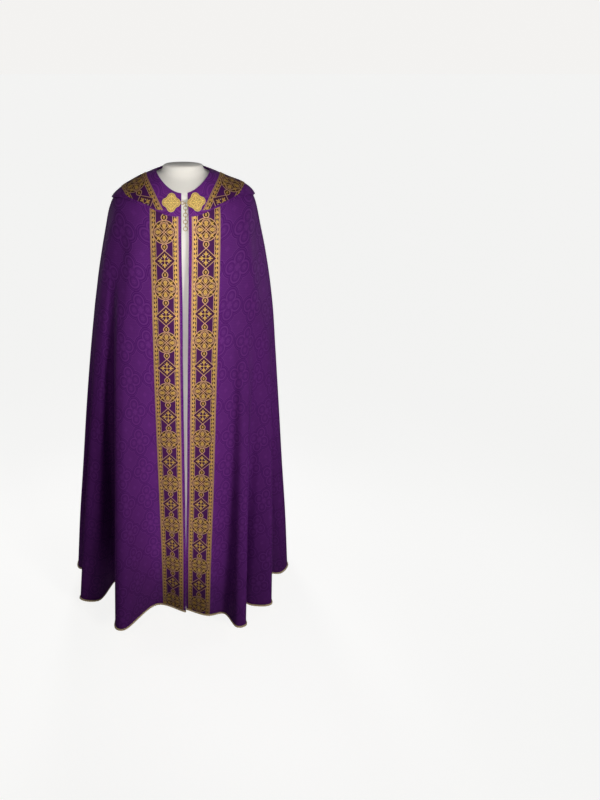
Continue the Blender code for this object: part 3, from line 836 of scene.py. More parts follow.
@dataclass(frozen=True)
class Paper:
    """Pale studio floor, lit from below as a light table is."""

    name: str = "studio_floor"
    light: Colour = (0.46, 0.46, 0.455)
    shade: Colour = (0.43, 0.43, 0.425)
    glow: float = 0.84

    def make(self) -> Material:
        """Build the material: matt and very slightly uneven.

        Returns:
            The material.
        """
        chart = Chart(self.name)
        chart.drive("Base Color", chart.blend(chart.noise(1.3, 2.0), self.shade, self.light))
        chart.drive("Roughness", 0.9)
        chart.drive("Emission Color", (1.0, 1.0, 0.99))
        chart.drive("Emission Strength", self.glow)
        return chart.material


# ---- shared geometry


def smooth_rows(table: Array, position: Array) -> Array:
    """Read a table between its rows, smoothly through every row.

    Args:
        table: Rows of numbers or of points.
        position: Fractional row indices, of any shape.

    Returns:
        One row for each position.
    """
    rows = np.asarray(table, float)
    place = np.clip(np.asarray(position, float), 0.0, len(rows) - 1.0)
    index = np.minimum(place.astype(int), len(rows) - 2)
    part = (place - index).reshape(place.shape + (1,) * (rows.ndim - 1))
    first = 2.0 * rows[:1] - rows[1:2]
    final = 2.0 * rows[-1:] - rows[-2:-1]
    padded = np.concatenate((first, rows, final))
    before, here, there, after = (padded[index + k] for k in range(4))
    linear = 0.5 * (there - before)
    square = before - 2.5 * here + 2.0 * there - 0.5 * after
    cube = 0.5 * (after - before) + 1.5 * (here - there)
    return here + part * (linear + part * (square + part * cube))


def unit(vectors: Array) -> Array:
    """Vectors scaled to length 1."""
    return vectors / np.linalg.norm(vectors, axis=-1, keepdims=True)


def run_along(points: Array, axis: int) -> Array:
    """Length from the start to every point of a grid.

    Args:
        points: Grid of points.
        axis: The direction of the grid to follow.

    Returns:
        Distances, with the shape of the grid.
    """
    steps = np.linalg.norm(np.diff(points, axis=axis), axis=-1)
    start = np.zeros_like(np.take(steps, [0], axis=axis))
    return np.concatenate((start, np.cumsum(steps, axis=axis)), axis=axis)


def grid_normals(grid: Array) -> Array:
    """Outward normals of a grid with columns round the body and rows down it."""
    return unit(np.cross(np.gradient(grid, axis=0), np.gradient(grid, axis=1)))


class Side(Enum):
    """The two sides of the opening, by the sign of their walk round the body."""

    LEFT = 1
    RIGHT = -1


# Rings of the mantle, neck to hem, outer face. One row per ring.
# half_width, side_z, front_y, front_z, back_y, back_z, left_edge_x, right_edge_x
RINGS = (
    (0.080, 1.561, -0.112, 1.513, 0.086, 1.574, -0.0050, 0.0130),
    (0.100, 1.555, -0.118, 1.496, 0.094, 1.562, -0.0050, 0.0140),
    (0.126, 1.543, -0.124, 1.477, 0.104, 1.540, -0.0048, 0.0152),
    (0.155, 1.528, -0.130, 1.456, 0.115, 1.510, -0.0048, 0.0160),
    (0.185, 1.510, -0.136, 1.424, 0.126, 1.472, -0.0046, 0.0170),
    (0.210, 1.488, -0.142, 1.386, 0.135, 1.430, -0.0045, 0.0175),
    (0.226, 1.455, -0.148, 1.342, 0.143, 1.380, -0.0040, 0.0174),
    (0.240, 1.400, -0.156, 1.288, 0.152, 1.315, -0.0030, 0.0170),
    (0.258, 1.320, -0.166, 1.218, 0.165, 1.236, -0.0015, 0.0166),
    (0.281, 1.200, -0.179, 1.122, 0.182, 1.132, -0.0008, 0.0158),
    (0.307, 1.030, -0.194, 0.975, 0.205, 0.980, 0.0002, 0.0148),
    (0.335, 0.790, -0.210, 0.765, 0.232, 0.765, 0.0030, 0.0141),
    (0.361, 0.540, -0.223, 0.530, 0.258, 0.530, 0.0066, 0.0134),
    (0.387, 0.300, -0.237, 0.296, 0.283, 0.296, 0.0096, 0.0108),
    (0.409, 0.055, -0.250, 0.055, 0.305, 0.055, 0.0100, 0.0112),
)

# Folds of the mantle at the hem, from the left front round the back to the right
# front. A crest is followed by its valley. turn, face: degrees, 0 front and 90 left.
# turn, crest_x, crest_y, crest_w, face, valley_x, valley_y, valley_w, start_z
FOLDS = (
    (33, -0.225, -0.333, 0.030, 20, -0.236, -0.085, 0.040, 1.30),
    (58, -0.350, -0.186, 0.070, 10, -0.322, -0.030, 0.034, 1.16),
    (87, -0.412, 0.020, 0.060, 90, -0.312, 0.108, 0.030, 1.14),
    (112, -0.396, 0.208, 0.052, 112, -0.268, 0.180, 0.028, 1.18),
    (135, -0.288, 0.338, 0.048, 150, -0.166, 0.222, 0.030, 1.25),
    (161, -0.138, 0.376, 0.050, 172, -0.012, 0.338, 0.110, 1.10),
    (198, 0.154, 0.380, 0.050, 190, 0.176, 0.230, 0.030, 1.10),
    (224, 0.290, 0.342, 0.050, 214, 0.272, 0.186, 0.028, 1.24),
    (247, 0.394, 0.216, 0.050, 250, 0.314, 0.122, 0.030, 1.17),
    (273, 0.400, -0.010, 0.070, 300, 0.300, -0.045, 0.030, 1.14),
    (302, 0.290, -0.212, 0.075, 355, 0.196, -0.180, 0.016, 1.16),
    (328, 0.209, -0.318, 0.034, 340, 0.120, -0.262, 0.060, 1.22),
)

# Soft creases over the folds, each one different.
# turn, top_level, low_level, depth, half_width in degrees, lean in degrees
CREASES = (
    (21, 4.6, 9.0, -0.0030, 5.0, 4.0),
    (38, 5.2, 10.2, 0.0042, 6.0, -6.0),
    (52, 4.9, 9.4, -0.0050, 6.5, -9.0),
    (70, 5.8, 10.8, 0.0052, 7.0, -5.0),
    (84, 6.1, 11.6, -0.0040, 5.0, 6.0),
    (101, 6.4, 11.0, 0.0046, 8.0, 5.0),
    (124, 7.6, 12.0, -0.0042, 7.0, 7.0),
    (146, 8.6, 12.8, 0.0040, 6.0, -4.0),
    (170, 9.4, 13.2, -0.0034, 6.0, 3.0),
    (193, 9.2, 13.4, 0.0036, 5.5, -2.0),
    (214, 8.4, 12.4, -0.0044, 7.0, -5.0),
    (236, 7.2, 11.8, 0.0048, 7.5, 4.0),
    (258, 6.3, 11.2, -0.0046, 6.0, -6.0),
    (276, 6.0, 11.4, 0.0040, 6.0, 5.0),
    (291, 5.6, 10.4, -0.0052, 6.5, 8.0),
    (306, 5.0, 9.8, 0.0044, 6.0, 7.0),
    (322, 4.8, 9.2, -0.0036, 5.5, 5.0),
    (339, 4.6, 10.0, 0.0028, 5.0, -4.0),
)

# Outer edge of the hood: degrees round the body and ring level, front to back.
# turn, level
HOOD_EDGE = (
    (0, 3.16), (15, 3.26), (24, 3.22), (33, 3.24), (42, 3.42), (53, 3.72), (63, 4.04),
    (73, 4.54), (82, 5.02), (96, 5.24), (111, 5.48), (121, 6.00), (127, 6.52), (132, 6.94),
    (137, 7.26), (143, 7.48), (150, 7.74), (157, 7.95), (164, 8.18), (171, 8.50), (180, 8.90),
)

# Diagonal hood bands, from the centre back over the shoulder to the front edge.
# inner_turn, inner_level, outer_turn, outer_level
DIAGONAL_BAND = (
    (171.3, 5.30, 172.9, 7.94),
    (168.2, 4.91, 167.8, 7.46),
    (164.5, 4.50, 161.9, 6.94),
    (160.1, 4.06, 155.2, 6.39),
    (154.3, 3.63, 147.2, 5.79),
    (146.6, 3.16, 136.0, 5.08),
    (133.0, 2.50, 119.0, 4.42),
    (112.0, 1.75, 103.0, 4.05),
    (90.0, 1.36, 88.0, 3.93),
    (69.0, 1.38, 74.0, 3.86),
    (52.7, 1.52, 63.0, 3.84),
    (39.5, 1.82, 50.5, 3.52),
    (28.4, 2.31, 38.0, 3.20),
    (19.6, 2.89, 25.0, 3.08),
)


def steady(knots: Array, values: Array, at: Array) -> Array:
    """Read values between knots smoothly, without ever passing beyond them.

    Args:
        knots: Places of the values.
        values: The values.
        at: Places to read.

    Returns:
        The values there.
    """
    gap = np.diff(knots).astype(float)
    slope = np.diff(values) / gap
    lean = np.zeros(len(values))
    both = slope[:-1] * slope[1:]
    rising = both > 0.0
    mean = 2.0 * both[rising] / (slope[:-1] + slope[1:])[rising]
    lean[1:-1][rising] = mean
    lean[0] = slope[0]
    lean[-1] = slope[-1]
    index = np.clip(np.searchsorted(knots, at, side="right") - 1, 0, len(gap) - 1)
    t = (at - knots[index]) / gap[index]
    step = t * t * (3.0 - 2.0 * t)
    start = t * (1.0 - t) ** 2 * gap[index] * lean[index]
    end = t * t * (t - 1.0) * gap[index] * lean[index + 1]
    return values[index] * (1.0 - step) + values[index + 1] * step + start + end


@dataclass
class Cut:
    """The cut of the cope as it hangs: its rings, its front zones and its hem curve."""

    band_width: float = 0.083
    margin: float = 0.009
    band_top: float = 3.0
    neck_zone_share: float = 0.5
    neck_squareness: float = 2.0
    body_squareness: float = 2.3
    square_from: float = 4.0
    right_lift: float = 0.011
    right_lift_level: float = 4.6
    right_lift_span: float = 2.6
    fold_power: float = 1.25
    flank_steps: int = 10
    crest_steps: int = 5
    panel_steps: int = 10
    fine: int = 5
    crest_share: float = 0.12
    valley_shares: Pair = (0.44, 0.56)
    last_turn: float = 345.0
    last_face: float = 360.0
    zone_clear: float = 0.010
    panel_start: float = 1.20
    left_corner: Pair = (0.0100, -0.250)
    left_hollow: Pair = (-0.094, -0.212)
    left_hollow_turn: float = 16.0
    right_corner: Pair = (0.0112, -0.236)
    flat_angle: float = math.radians(165.0)
    flat_neck: float = 0.180
    band_cells: int = 12
    margin_cells: int = 3
    seam_gap: float = 0.003
    probe: float = 0.01
    last: float = len(RINGS) - 1.0

    @property
    def zone(self) -> float:
        """Width of the flat zone beside a front edge."""
        return 2.0 * self.margin + self.band_width

    def squareness(self, level: Array) -> Array:
        """Plan exponent at ring levels."""
        grown = np.minimum(level / self.square_from, 1.0)
        return self.neck_squareness + (self.body_squareness - self.neck_squareness) * grown

    def oval(self, ring: Array, exponent: Array, turn: Array) -> Array:
        """Points of rings at angles round the body.

        Args:
            ring: Rows of half width, side z, front y and z, back y and z.
            exponent: Plan exponents.
            turn: Angles.

        Returns:
            The points.
        """
        sine = np.sin(turn)
        cosine = np.cos(turn)
        side = np.sign(sine) * np.abs(sine) ** (2.0 / exponent)
        depth = np.abs(cosine) ** (2.0 / exponent)
        end_y = np.where(cosine > 0.0, ring[..., 2], ring[..., 4])
        end_z = np.where(cosine > 0.0, ring[..., 3], ring[..., 5])
        height = ring[..., 1] + (end_z - ring[..., 1]) * cosine * cosine
        return np.stack((-ring[..., 0] * side, end_y * depth, height), axis=-1)

    def body(self, turn: Array, level: Array) -> Array:
        """Find points of the unfolded mantle's outer face.

        Args:
            turn: Angles round the body.
            level: Ring levels.

        Returns:
            The points.
        """
        turn, level = np.broadcast_arrays(turn, level)
        point = self.oval(smooth_rows(RINGS, level), self.squareness(level), turn)
        side = np.maximum(-np.sin(turn), 0.0) ** 3
        away = (level - self.right_lift_level) / self.right_lift_span
        point[..., 2] += self.right_lift * side * np.maximum(1.0 - away * away, 0.0) ** 2
        return point

    def raised(self, turn: Array, level: Array, height: Array | float) -> Array:
        """Move points of the unfolded mantle out along its normal.

        Args:
            turn: Angles round the body.
            level: Ring levels.
            height: Distance outwards.

        Returns:
            The moved points.
        """
        step = self.probe
        round_body = self.body(turn + step, level) - self.body(turn - step, level)
        down_body = self.body(turn, level + step) - self.body(turn, np.maximum(level - step, 0.0))
        normal = unit(np.cross(round_body, down_body))
        return self.body(turn, level) + np.asarray(height)[..., None] * normal

    def zone_turn(self, level: Array, reach: Array | float, side: Side) -> Array:
        """Angle of the points that lie a distance from a front edge, measured across.

        Args:
            level: Ring levels.
            reach: Distance from the edge.
            side: Which edge.

        Returns:
            Angles round the body.
        """
        level = np.asarray(level, float)
        ring = smooth_rows(RINGS, level)
        edge = ring[..., 6] if side is Side.LEFT else ring[..., 7]
        grown = np.minimum(level / self.band_top, 1.0)
        shrink = self.neck_zone_share + (1.0 - self.neck_zone_share) * grown
        across = reach * shrink - side.value * edge
        share = np.minimum(np.abs(across) / ring[..., 0], 1.0)
        angle = np.sign(across) * np.arcsin(share ** (self.squareness(level) / 2.0))
        return angle if side is Side.LEFT else 2.0 * math.pi - angle

    def hem_controls(self) -> tuple[Array, list[int]]:
        """Place the control points of the hem.

        Returns:
            Rows of x, y, turn in degrees and start height, and the steps between them.
        """
        points = [(*self.left_corner, 0.0, self.panel_start)]
        points.append((*self.left_hollow, self.left_hollow_turn, self.panel_start))
        steps = [self.panel_steps]
        for index, fold in enumerate(FOLDS):
            turn, crest_x, crest_y, crest_w, face, hollow_x, hollow_y, hollow_w, start = fold
            final = index + 1 == len(FOLDS)
            next_turn = self.last_turn if final else FOLDS[index + 1][0]
            next_face = self.last_face if final else FOLDS[index + 1][4]
            next_face += 360.0 if next_face - face < -180.0 else 0.0
            gap = next_turn - turn
            for middle, width, degrees, shares in (
                ((crest_x, crest_y), crest_w, face, (-self.crest_share, self.crest_share)),
                ((hollow_x, hollow_y), hollow_w, 0.5 * (face + next_face), self.valley_shares),
            ):
                angle = math.radians(degrees)
                half = np.array((-math.cos(angle), math.sin(angle))) * width / 2.0
                for sign, share in zip((-1.0, 1.0), shares):
                    points.append((*(middle + sign * half), turn + share * gap, start))
            steps += [self.flank_steps, self.crest_steps, self.flank_steps, self.crest_steps]
        points.append((*self.right_corner, 360.0, self.panel_start))
        steps.append(self.panel_steps)
        return np.array(points), steps

    def hem_curve(self, points: Array, steps: list[int]) -> Array:
        """Centripetal curve through the hem's control points.

        Args:
            points: Control points.
            steps: Samples in each span.

        Returns:
            The samples.
        """
        rounds = (((0, 1), (1, 2), (2, 3)), ((0, 2), (1, 3)), ((1, 2),))
        ends = np.vstack((2.0 * points[0] - points[1], points, 2.0 * points[-1] - points[-2]))
        samples = []
        for index, count in enumerate(steps):
            quad = ends[index : index + 4]
            gaps = np.sqrt(np.linalg.norm(np.diff(quad[:, :2], axis=0), axis=1))
            knots = np.concatenate(([0.0], np.cumsum(gaps)))
            at = (knots[1] + (knots[2] - knots[1]) * np.arange(count) / count)[:, None]
            merged = list(quad)
            for pairs in rounds:
                blend = []
                for k, (low, high) in enumerate(pairs):
                    part = (at - knots[low]) / (knots[high] - knots[low])
                    blend.append(merged[k] * (1.0 - part) + merged[k + 1] * part)
                merged = blend
            samples.append(merged[0])
        samples.append(points[-1:])
        curve = np.concatenate(samples)
        knots = np.concatenate(([0], np.cumsum(steps)))
        for column in (2, 3):
            curve[:, column] = steady(knots, points[:, column], np.arange(len(curve)))
        return curve

    def columns(self) -> Columns:
        """Columns of the mantle, from the left front edge round to the right one.

        Returns:
            Arrays of hem x and y, turn share, start height, reach from the near front
            edge and side: 1 in the left zone, -1 in the right one and 0 between.
        """
        controls, steps = self.hem_controls()
        dense = self.hem_curve(controls, [step * self.fine for step in steps])
        arc = run_along(dense[:, :2], 0)
        coarse = arc[:: self.fine]
        band = self.margin + self.band_width * np.arange(self.band_cells + 1) / self.band_cells
        before = np.linspace(0.0, self.margin, self.margin_cells + 1)[:-1]
        zone = np.concatenate((before, band, [self.zone - self.seam_gap, self.zone]))
        near = self.zone + self.zone_clear
        middle = coarse[(coarse > near) & (coarse < arc[-1] - near)]
        place = np.concatenate((zone, middle, arc[-1] - zone[::-1]))
        reach = np.concatenate((zone, np.full(len(middle), -1.0), zone[::-1]))
        side = np.concatenate((np.ones(len(zone)), np.zeros(len(middle)), -np.ones(len(zone))))
        hem_x, hem_y, turn, start = (np.interp(place, arc, dense[:, k]) for k in range(4))
        left = float(self.zone_turn(self.last, self.zone, Side.LEFT))
        right = float(self.zone_turn(self.last, self.zone, Side.RIGHT))
        share = (np.radians(turn) - left) / (right - left)
        for seam, fold, at_seam in (
            (self.zone, arc[self.fine * sum(steps[:2])], 0.0),
            (arc[-1] - self.zone, arc[-1 - self.fine * steps[-1]], 1.0),
        ):
            kept = np.interp(fold, place, share)
            near = (place - seam) * (place - fold) <= 0.0
            share[near] = at_seam + (kept - at_seam) * (place[near] - seam) / (fold - seam)
        share = np.clip(share, 0.0, 1.0)
        return {
            "x": hem_x,
            "y": hem_y,
            "share": share,
            "start": start,
            "reach": reach,
            "side": side,
        }

    def turns(self, columns: Columns, levels: Array) -> Array:
        """Find the angles of every column at every level.

        Args:
            columns: Columns of the mantle.
            levels: Ring levels.

        Returns:
            Angles round the body.
        """
        left = self.zone_turn(levels, self.zone, Side.LEFT)
        right = self.zone_turn(levels, self.zone, Side.RIGHT)
        turn = left + columns["share"][:, None] * (right - left)
        for side in Side:
            near = columns["side"] == side.value
            turn[near] = self.zone_turn(levels[None, :], columns["reach"][near][:, None], side)
        return turn

    def creases(self, turn: Array, level: Array) -> Array:
        """Height of the soft creases.

        Args:
            turn: Angles round the body.
            level: Ring levels.

        Returns:
            Signed heights.
        """
        total = np.zeros(np.broadcast(turn, level).shape)
        degrees = np.degrees(turn)
        for at, top, low, depth, width, lean in CREASES:
            run = np.clip((level - top) / (low - top), 0.0, 1.0)
            window = np.sin(math.pi * run) ** 2
            spread = width * (1.0 + 0.5 * run)
            total += depth * window * np.exp(-(((degrees - at - lean * run) / spread) ** 2))
        return total

    def mantle(self, columns: Columns, levels: Array) -> Array:
        """Fold the mantle, creases included.

        Args:
            columns: Columns of the mantle.
            levels: Ring levels.

        Returns:
            Points of its outer face.
        """
        turn = self.turns(columns, levels)
        point = self.body(turn, levels[None, :])
        at_hem = self.body(self.turns(columns, np.array([self.last])), np.array([[self.last]]))
        start = columns["start"][:, None]
        depth = np.maximum(0.0, (start - point[..., 2]) / (start - at_hem[..., 2]))
        growth = depth**self.fold_power
        point[..., 0] += growth * (columns["x"][:, None] - at_hem[..., 0])
        point[..., 1] += growth * (columns["y"][:, None] - at_hem[..., 1])
        height = self.creases(turn, levels[None, :])
        reach = np.where(columns["side"] == 0, 1.0, columns["reach"] / self.zone)
        height = height * np.minimum(reach, 1.0)[:, None]
        return point + height[..., None] * grid_normals(point)

    def flat_grid(self, grid: Array) -> Array:
        """Lay a grid that runs round and down the body out flat, centre back upright.

        Args:
            grid: Points, columns round the body and rows down it.

        Returns:
            The place of every point on the flat cloth.
        """
        round_run = run_along(grid, 0)
        share = round_run / round_run[-1:] - 0.5
        out = self.flat_neck + run_along(grid, 1)
        angle = share * self.flat_angle
        return np.stack((out * np.sin(angle), -out * np.cos(angle)), axis=-1)


def grid_faces(columns: int, rows: int) -> list[tuple[int, ...]]:
    """Faces of a closed shell: outer sheet, inner sheet and the rim between them.

    Args:
        columns: Columns of either sheet.
        rows: Rows of either sheet.

    Returns:
        The faces, outwards.
    """
    inner = columns * rows
    faces = []
    for c in range(columns - 1):
        for r in range(rows - 1):
            a = c * rows + r
            b = a + rows
            faces.append((a, b, b + 1, a + 1))
            faces.append((inner + a, inner + a + 1, inner + b + 1, inner + b))
        a = c * rows
        b = a + rows
        faces.append((a, inner + a, inner + b, b))
        a += rows - 1
        b += rows - 1
        faces.append((a, b, inner + b, inner + a))
    end = (columns - 1) * rows
    for r in range(rows - 1):
        faces.append((r, r + 1, inner + r + 1, inner + r))
        faces.append((end + r, inner + end + r, inner + end + r + 1, end + r + 1))
    return faces


def tube_faces(rings: int, sides: int) -> list[tuple[int, ...]]:
    """Faces of a closed tube: its wall and its two ends.

    Args:
        rings: Rings of points along it.
        sides: Points in each ring.

    Returns:
        The faces, outwards.
    """
    faces = []
    for a in range(0, (rings - 1) * sides, sides):
        for k in range(sides):
            j = (k + 1) % sides
            faces.append((a + k, a + sides + k, a + sides + j, a + j))
    end = (rings - 1) * sides
    faces.append(tuple(range(sides)))
    faces.append(tuple(end + k for k in reversed(range(sides))))
    return faces


def mesh_object(name: str, points: Array, faces: list, flat: Array | None = None) -> Piece:
    """Make a smooth object from points and faces.

    Args:
        name: Name of the piece.
        points: Its points.
        faces: Its faces.
        flat: Place of every point on the flat cloth, for the cut map.

    Returns:
        The object.
    """
    mesh = bpy.data.meshes.new(name)
    mesh.from_pydata(points.reshape(-1, 3).tolist(), [], faces)
    if flat is not None:
        corner = np.empty(len(mesh.loops), np.int32)
        mesh.loops.foreach_get("vertex_index", corner)
        layer = mesh.uv_layers.new(name=CUT_MAP)
        layer.uv.foreach_set("vector", flat.reshape(-1, 2)[corner].astype(np.float32).ravel())
    mesh.shade_smooth()
    mesh.set_sharp_from_angle(angle=SMOOTH_CLOTH)
    mesh.update()
    obj = bpy.data.objects.new(name, mesh)
    bpy.context.scene.collection.objects.link(obj)
    return obj


def shell(name: str, outer: Array, inner: Array, flat: Array) -> Piece:
    """Make a thin closed shell of cloth.

    Args:
        name: Name of the piece.
        outer: Grid of its outer face.
        inner: Grid of its inner face.
        flat: Place of the grid's points on the flat cloth.

    Returns:
        The object.
    """
    points = np.concatenate((outer.reshape(-1, 3), inner.reshape(-1, 3)))
    both = np.concatenate((flat.reshape(-1, 2), flat.reshape(-1, 2)))
    return mesh_object(name, points, grid_faces(*outer.shape[:2]), both)


def band_flat(grid: Array, width: float) -> Array:
    """Lay a band out flat: across from its middle, and along from its top.

    Args:
        grid: Points, columns along the band's length and rows across its cut.
        width: Width of the band.

    Returns:
        The place of every point on the flat band.
    """
    columns = grid.shape[0]
    middle = columns // 2
    tangent = unit(np.gradient(grid, axis=1))
    step = grid[1:] - grid[:-1]
    slip = np.sum(step * unit(tangent[1:] + tangent[:-1]), axis=-1)
    slip = np.concatenate((np.zeros((1, grid.shape[1])), np.cumsum(slip, axis=0)))
    along = run_along(grid[middle], 0) + slip - slip[middle]
    across = (np.arange(columns) / (columns - 1.0) - 0.5) * width
    return np.stack((np.broadcast_to(across[:, None], along.shape), along), axis=-1)


def edge_flat(grid: Array, width: float, side: Side) -> Array:
    """Lay a band out flat from its straight edge, where its other edge is cut away.

    Args:
        grid: Points, columns along the band's length and rows across its cut.
        width: Width of the band before the cut.
        side: Left where the straight edge is the first column, right where it is the last.

    Returns:
        The place of every point on the flat band.
    """
    ordered = grid[:: side.value]
    edge = ordered[0]
    step = ordered[1:] - ordered[:-1]
    slip = np.sum(step * unit(np.gradient(edge, axis=0)), axis=-1)
    rise = np.sqrt(np.maximum(np.sum(step * step, axis=-1) - slip * slip, 0.0))
    start = np.zeros((1, grid.shape[1]))
    slip = np.concatenate((start, np.cumsum(slip, axis=0)))
    rise = np.concatenate((start, np.cumsum(rise, axis=0)))
    along = run_along(edge, 0) + slip - slip[len(slip) // 2, 0]
    across = side.value * (rise - 0.5 * width)
    return np.stack((across[:: side.value], along[:: side.value]), axis=-1)


def clear_choice() -> None:
    """Deselect every object."""
    if bpy.context.mode != "OBJECT":
        bpy.ops.object.mode_set(mode="OBJECT")
    bpy.ops.object.select_all(action="DESELECT")


def edit_all() -> None:
    """Enter edit mode with everything selected."""
    bpy.ops.object.mode_set(mode="EDIT")
    bpy.ops.mesh.select_all(action="SELECT")


def pick(obj: Piece, test: Callable[[Vector], bool]) -> None:
    """Enter edit mode with only the points selected whose place passes a test.

    Args:
        obj: The object, the only one selected.
        test: Says whether a point is wanted.
    """
    bpy.ops.object.mode_set(mode="EDIT")
    bpy.ops.mesh.select_mode(type="VERT")
    bpy.ops.mesh.select_all(action="DESELECT")
    bpy.ops.object.mode_set(mode="OBJECT")
    for vertex in obj.data.vertices:
        vertex.select = test(vertex.co)
    bpy.ops.object.mode_set(mode="EDIT")


def copy_at(pattern: Piece, name: str, place: Matrix) -> Piece:
    """Copy a modelled pattern with a mesh of its own and put the place into that mesh.

    Args:
        pattern: The object to copy.
        name: Name of the copy.
        place: Where it goes.

    Returns:
        The copy.
    """
    mesh = pattern.data.copy()
    mesh.name = name
    mesh.transform(place)
    copy = bpy.data.objects.new(name, mesh)
    bpy.context.scene.collection.objects.link(copy)
    return copy


def settle(obj: Piece, place: Matrix, smooth: float) -> None:
    """Put a modelled piece in its place for good, its faces outwards and shaded smooth.

    Args:
        obj: The piece, active and the only one selected.
        place: Where it goes.
        smooth: Sharpest turn between two faces that is shaded smooth.
    """
    obj.matrix_world = place
    bpy.ops.object.transform_apply(location=True, rotation=True, scale=True)
    edit_all()
    bpy.ops.mesh.normals_make_consistent(inside=False)
    bpy.ops.object.mode_set(mode="OBJECT")
    bpy.ops.object.shade_smooth_by_angle(angle=smooth)


def join_as(name: str, pieces: list[Piece]) -> Piece:
    """Join pieces into one smooth object at the origin.

    Args:
        name: Name of the whole.
        pieces: The pieces, used up.

    Returns:
        The whole, active and the only one selected.
    """
    clear_choice()
    for piece in pieces:
        piece.select_set(True)
    bpy.context.view_layer.objects.active = pieces[0]
    if len(pieces) > 1:
        bpy.ops.object.join()
    bpy.ops.object.transform_apply(location=True, rotation=True, scale=True)
    bpy.ops.object.shade_smooth_by_angle(angle=SMOOTH_METAL)
    bpy.context.object.name = name
    bpy.context.object.data.name = name
    return bpy.context.object


def bent_wire(name: str, route: list, radius: float) -> Piece:
    """Bend a round wire or thread along a route and make it a mesh.

    Args:
        name: Name of the piece.
        route: Points that it passes near, at least five.
        radius: Its radius.

    Returns:
        The piece.
    """
    clear_choice()
    bpy.ops.curve.primitive_nurbs_path_add()
    path = bpy.context.object
    spline = path.data.splines[0]
    spline.points.add(len(route) - len(spline.points))
    for point, place in zip(spline.points, route):
        point.co = (*place, 1.0)
    spline.use_endpoint_u = True
    spline.order_u = 3
    spline.resolution_u = 8
    path.data.bevel_depth = radius
    path.data.bevel_resolution = 3
    path.data.use_fill_caps = True
    bpy.ops.object.convert(target="MESH")
    return join_as(name, [bpy.context.object])


class Maker:
    """What all the sub-assemblies share."""

    body: str = "garment"

    def place(self, obj: Piece, finish: Material, slot: str, *nodes: str) -> None:
        """Dress a finished piece, put it on its body and hide the plain solids that it stands for.

        Args:
            obj: The piece.
            finish: Its material.
            slot: Not used.
            nodes: The plain solids that it stands for.
        """
        obj.data.materials.clear()
        obj.data.materials.append(finish)
        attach(obj, self.body)
        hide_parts(*nodes)
        log.info("%s: %d faces, rides on %s", obj.name, len(obj.data.polygons), self.body)


# ---- cloth


@dataclass
class Mantle(Maker):
    """The semicircular mantle with its two front orphreys and its hem piping."""

    cut: Cut
    damask: Material
    galloon: dict[Side, Material]
    piping: Material
    rows: int = 105
    thick: float = 0.0016
    band_gap: float = 0.0003
    band_thick: float = 0.0011
    piping_radius: float = 0.0037
    piping_out: float = 0.0014
    piping_sides: int = 10
    touch: float = 1e-6

    def build(self) -> None:
        """Make the mantle, then the pieces sewn on it."""
        columns = self.cut.columns()
        levels = np.linspace(0.0, self.cut.last, self.rows)
        self.outer = self.cut.mantle(columns, levels)
        self.normals = grid_normals(self.outer)
        inner = self.outer - self.thick * self.normals
        cloth = shell("mantle_damask", self.outer, inner, self.cut.flat_grid(self.outer))
        self.place(cloth, self.damask, "purple_damask", "mantle")
        hem = self.hem_piping(0.5 * (self.outer[:, -1] + inner[:, -1]))
        bands = [self.front_band(side, columns, levels) for side in Side]

    def front_band(self, side: Side, columns: Columns, levels: Array) -> Piece:
        """Make one front orphrey on the mantle's own points.

        Args:
            side: Which front edge.
            columns: The mantle's columns.
            levels: The mantle's ring levels.

        Returns:
            The band.
        """
        reach = columns["reach"]
        low = self.cut.margin - self.touch
        high = self.cut.margin + self.cut.band_width + self.touch
        chosen = (columns["side"] == side.value) & (reach > low) & (reach < high)
        rows = levels >= self.cut.band_top - self.touch
        cloth = self.outer[chosen][:, rows]
        lift = self.normals[chosen][:, rows]
        word = side.name.lower()
        outer = cloth + (self.band_gap + self.band_thick) * lift
        inner = cloth + self.band_gap * lift
        flat = band_flat(cloth, self.cut.band_width)
        band = shell(f"front_orphrey_{word}", outer, inner, flat)
        self.place(band, self.galloon[side], "gold_galloon", f"front_band_{word}")
        return band

    def hem_piping(self, hem: Array) -> Piece:
        """Make the round piping that hangs under the mantle's edge.

        Args:
            hem: Middle of the mantle's hem.

        Returns:
            The piping.
        """
        path = hem - np.array((0.0, 0.0, self.band_gap + self.piping_radius))
        outward = path * np.array((1.0, 1.0, 0.0))
        path = path + self.piping_out * unit(outward)
        along = unit(np.gradient(path, axis=0))
        side = unit(np.cross(along, np.array((0.0, 0.0, 1.0))))
        rise = np.cross(side, along)
        angle = 2.0 * math.pi * np.arange(self.piping_sides) / self.piping_sides
        ring = np.cos(angle)[:, None, None] * side + np.sin(angle)[:, None, None] * rise
        points = (path + self.piping_radius * ring).transpose(1, 0, 2)
        run = run_along(path, 0)
        girth = self.piping_radius * angle
        flat = np.stack(np.broadcast_arrays(girth[None, :], run[:, None]), axis=-1)
        faces = tube_faces(len(path), self.piping_sides)
        piece = mesh_object("hem_cord_piping", points, faces, flat)
        self.place(piece, self.piping, "gold_piping", "hem_piping")
        return piece


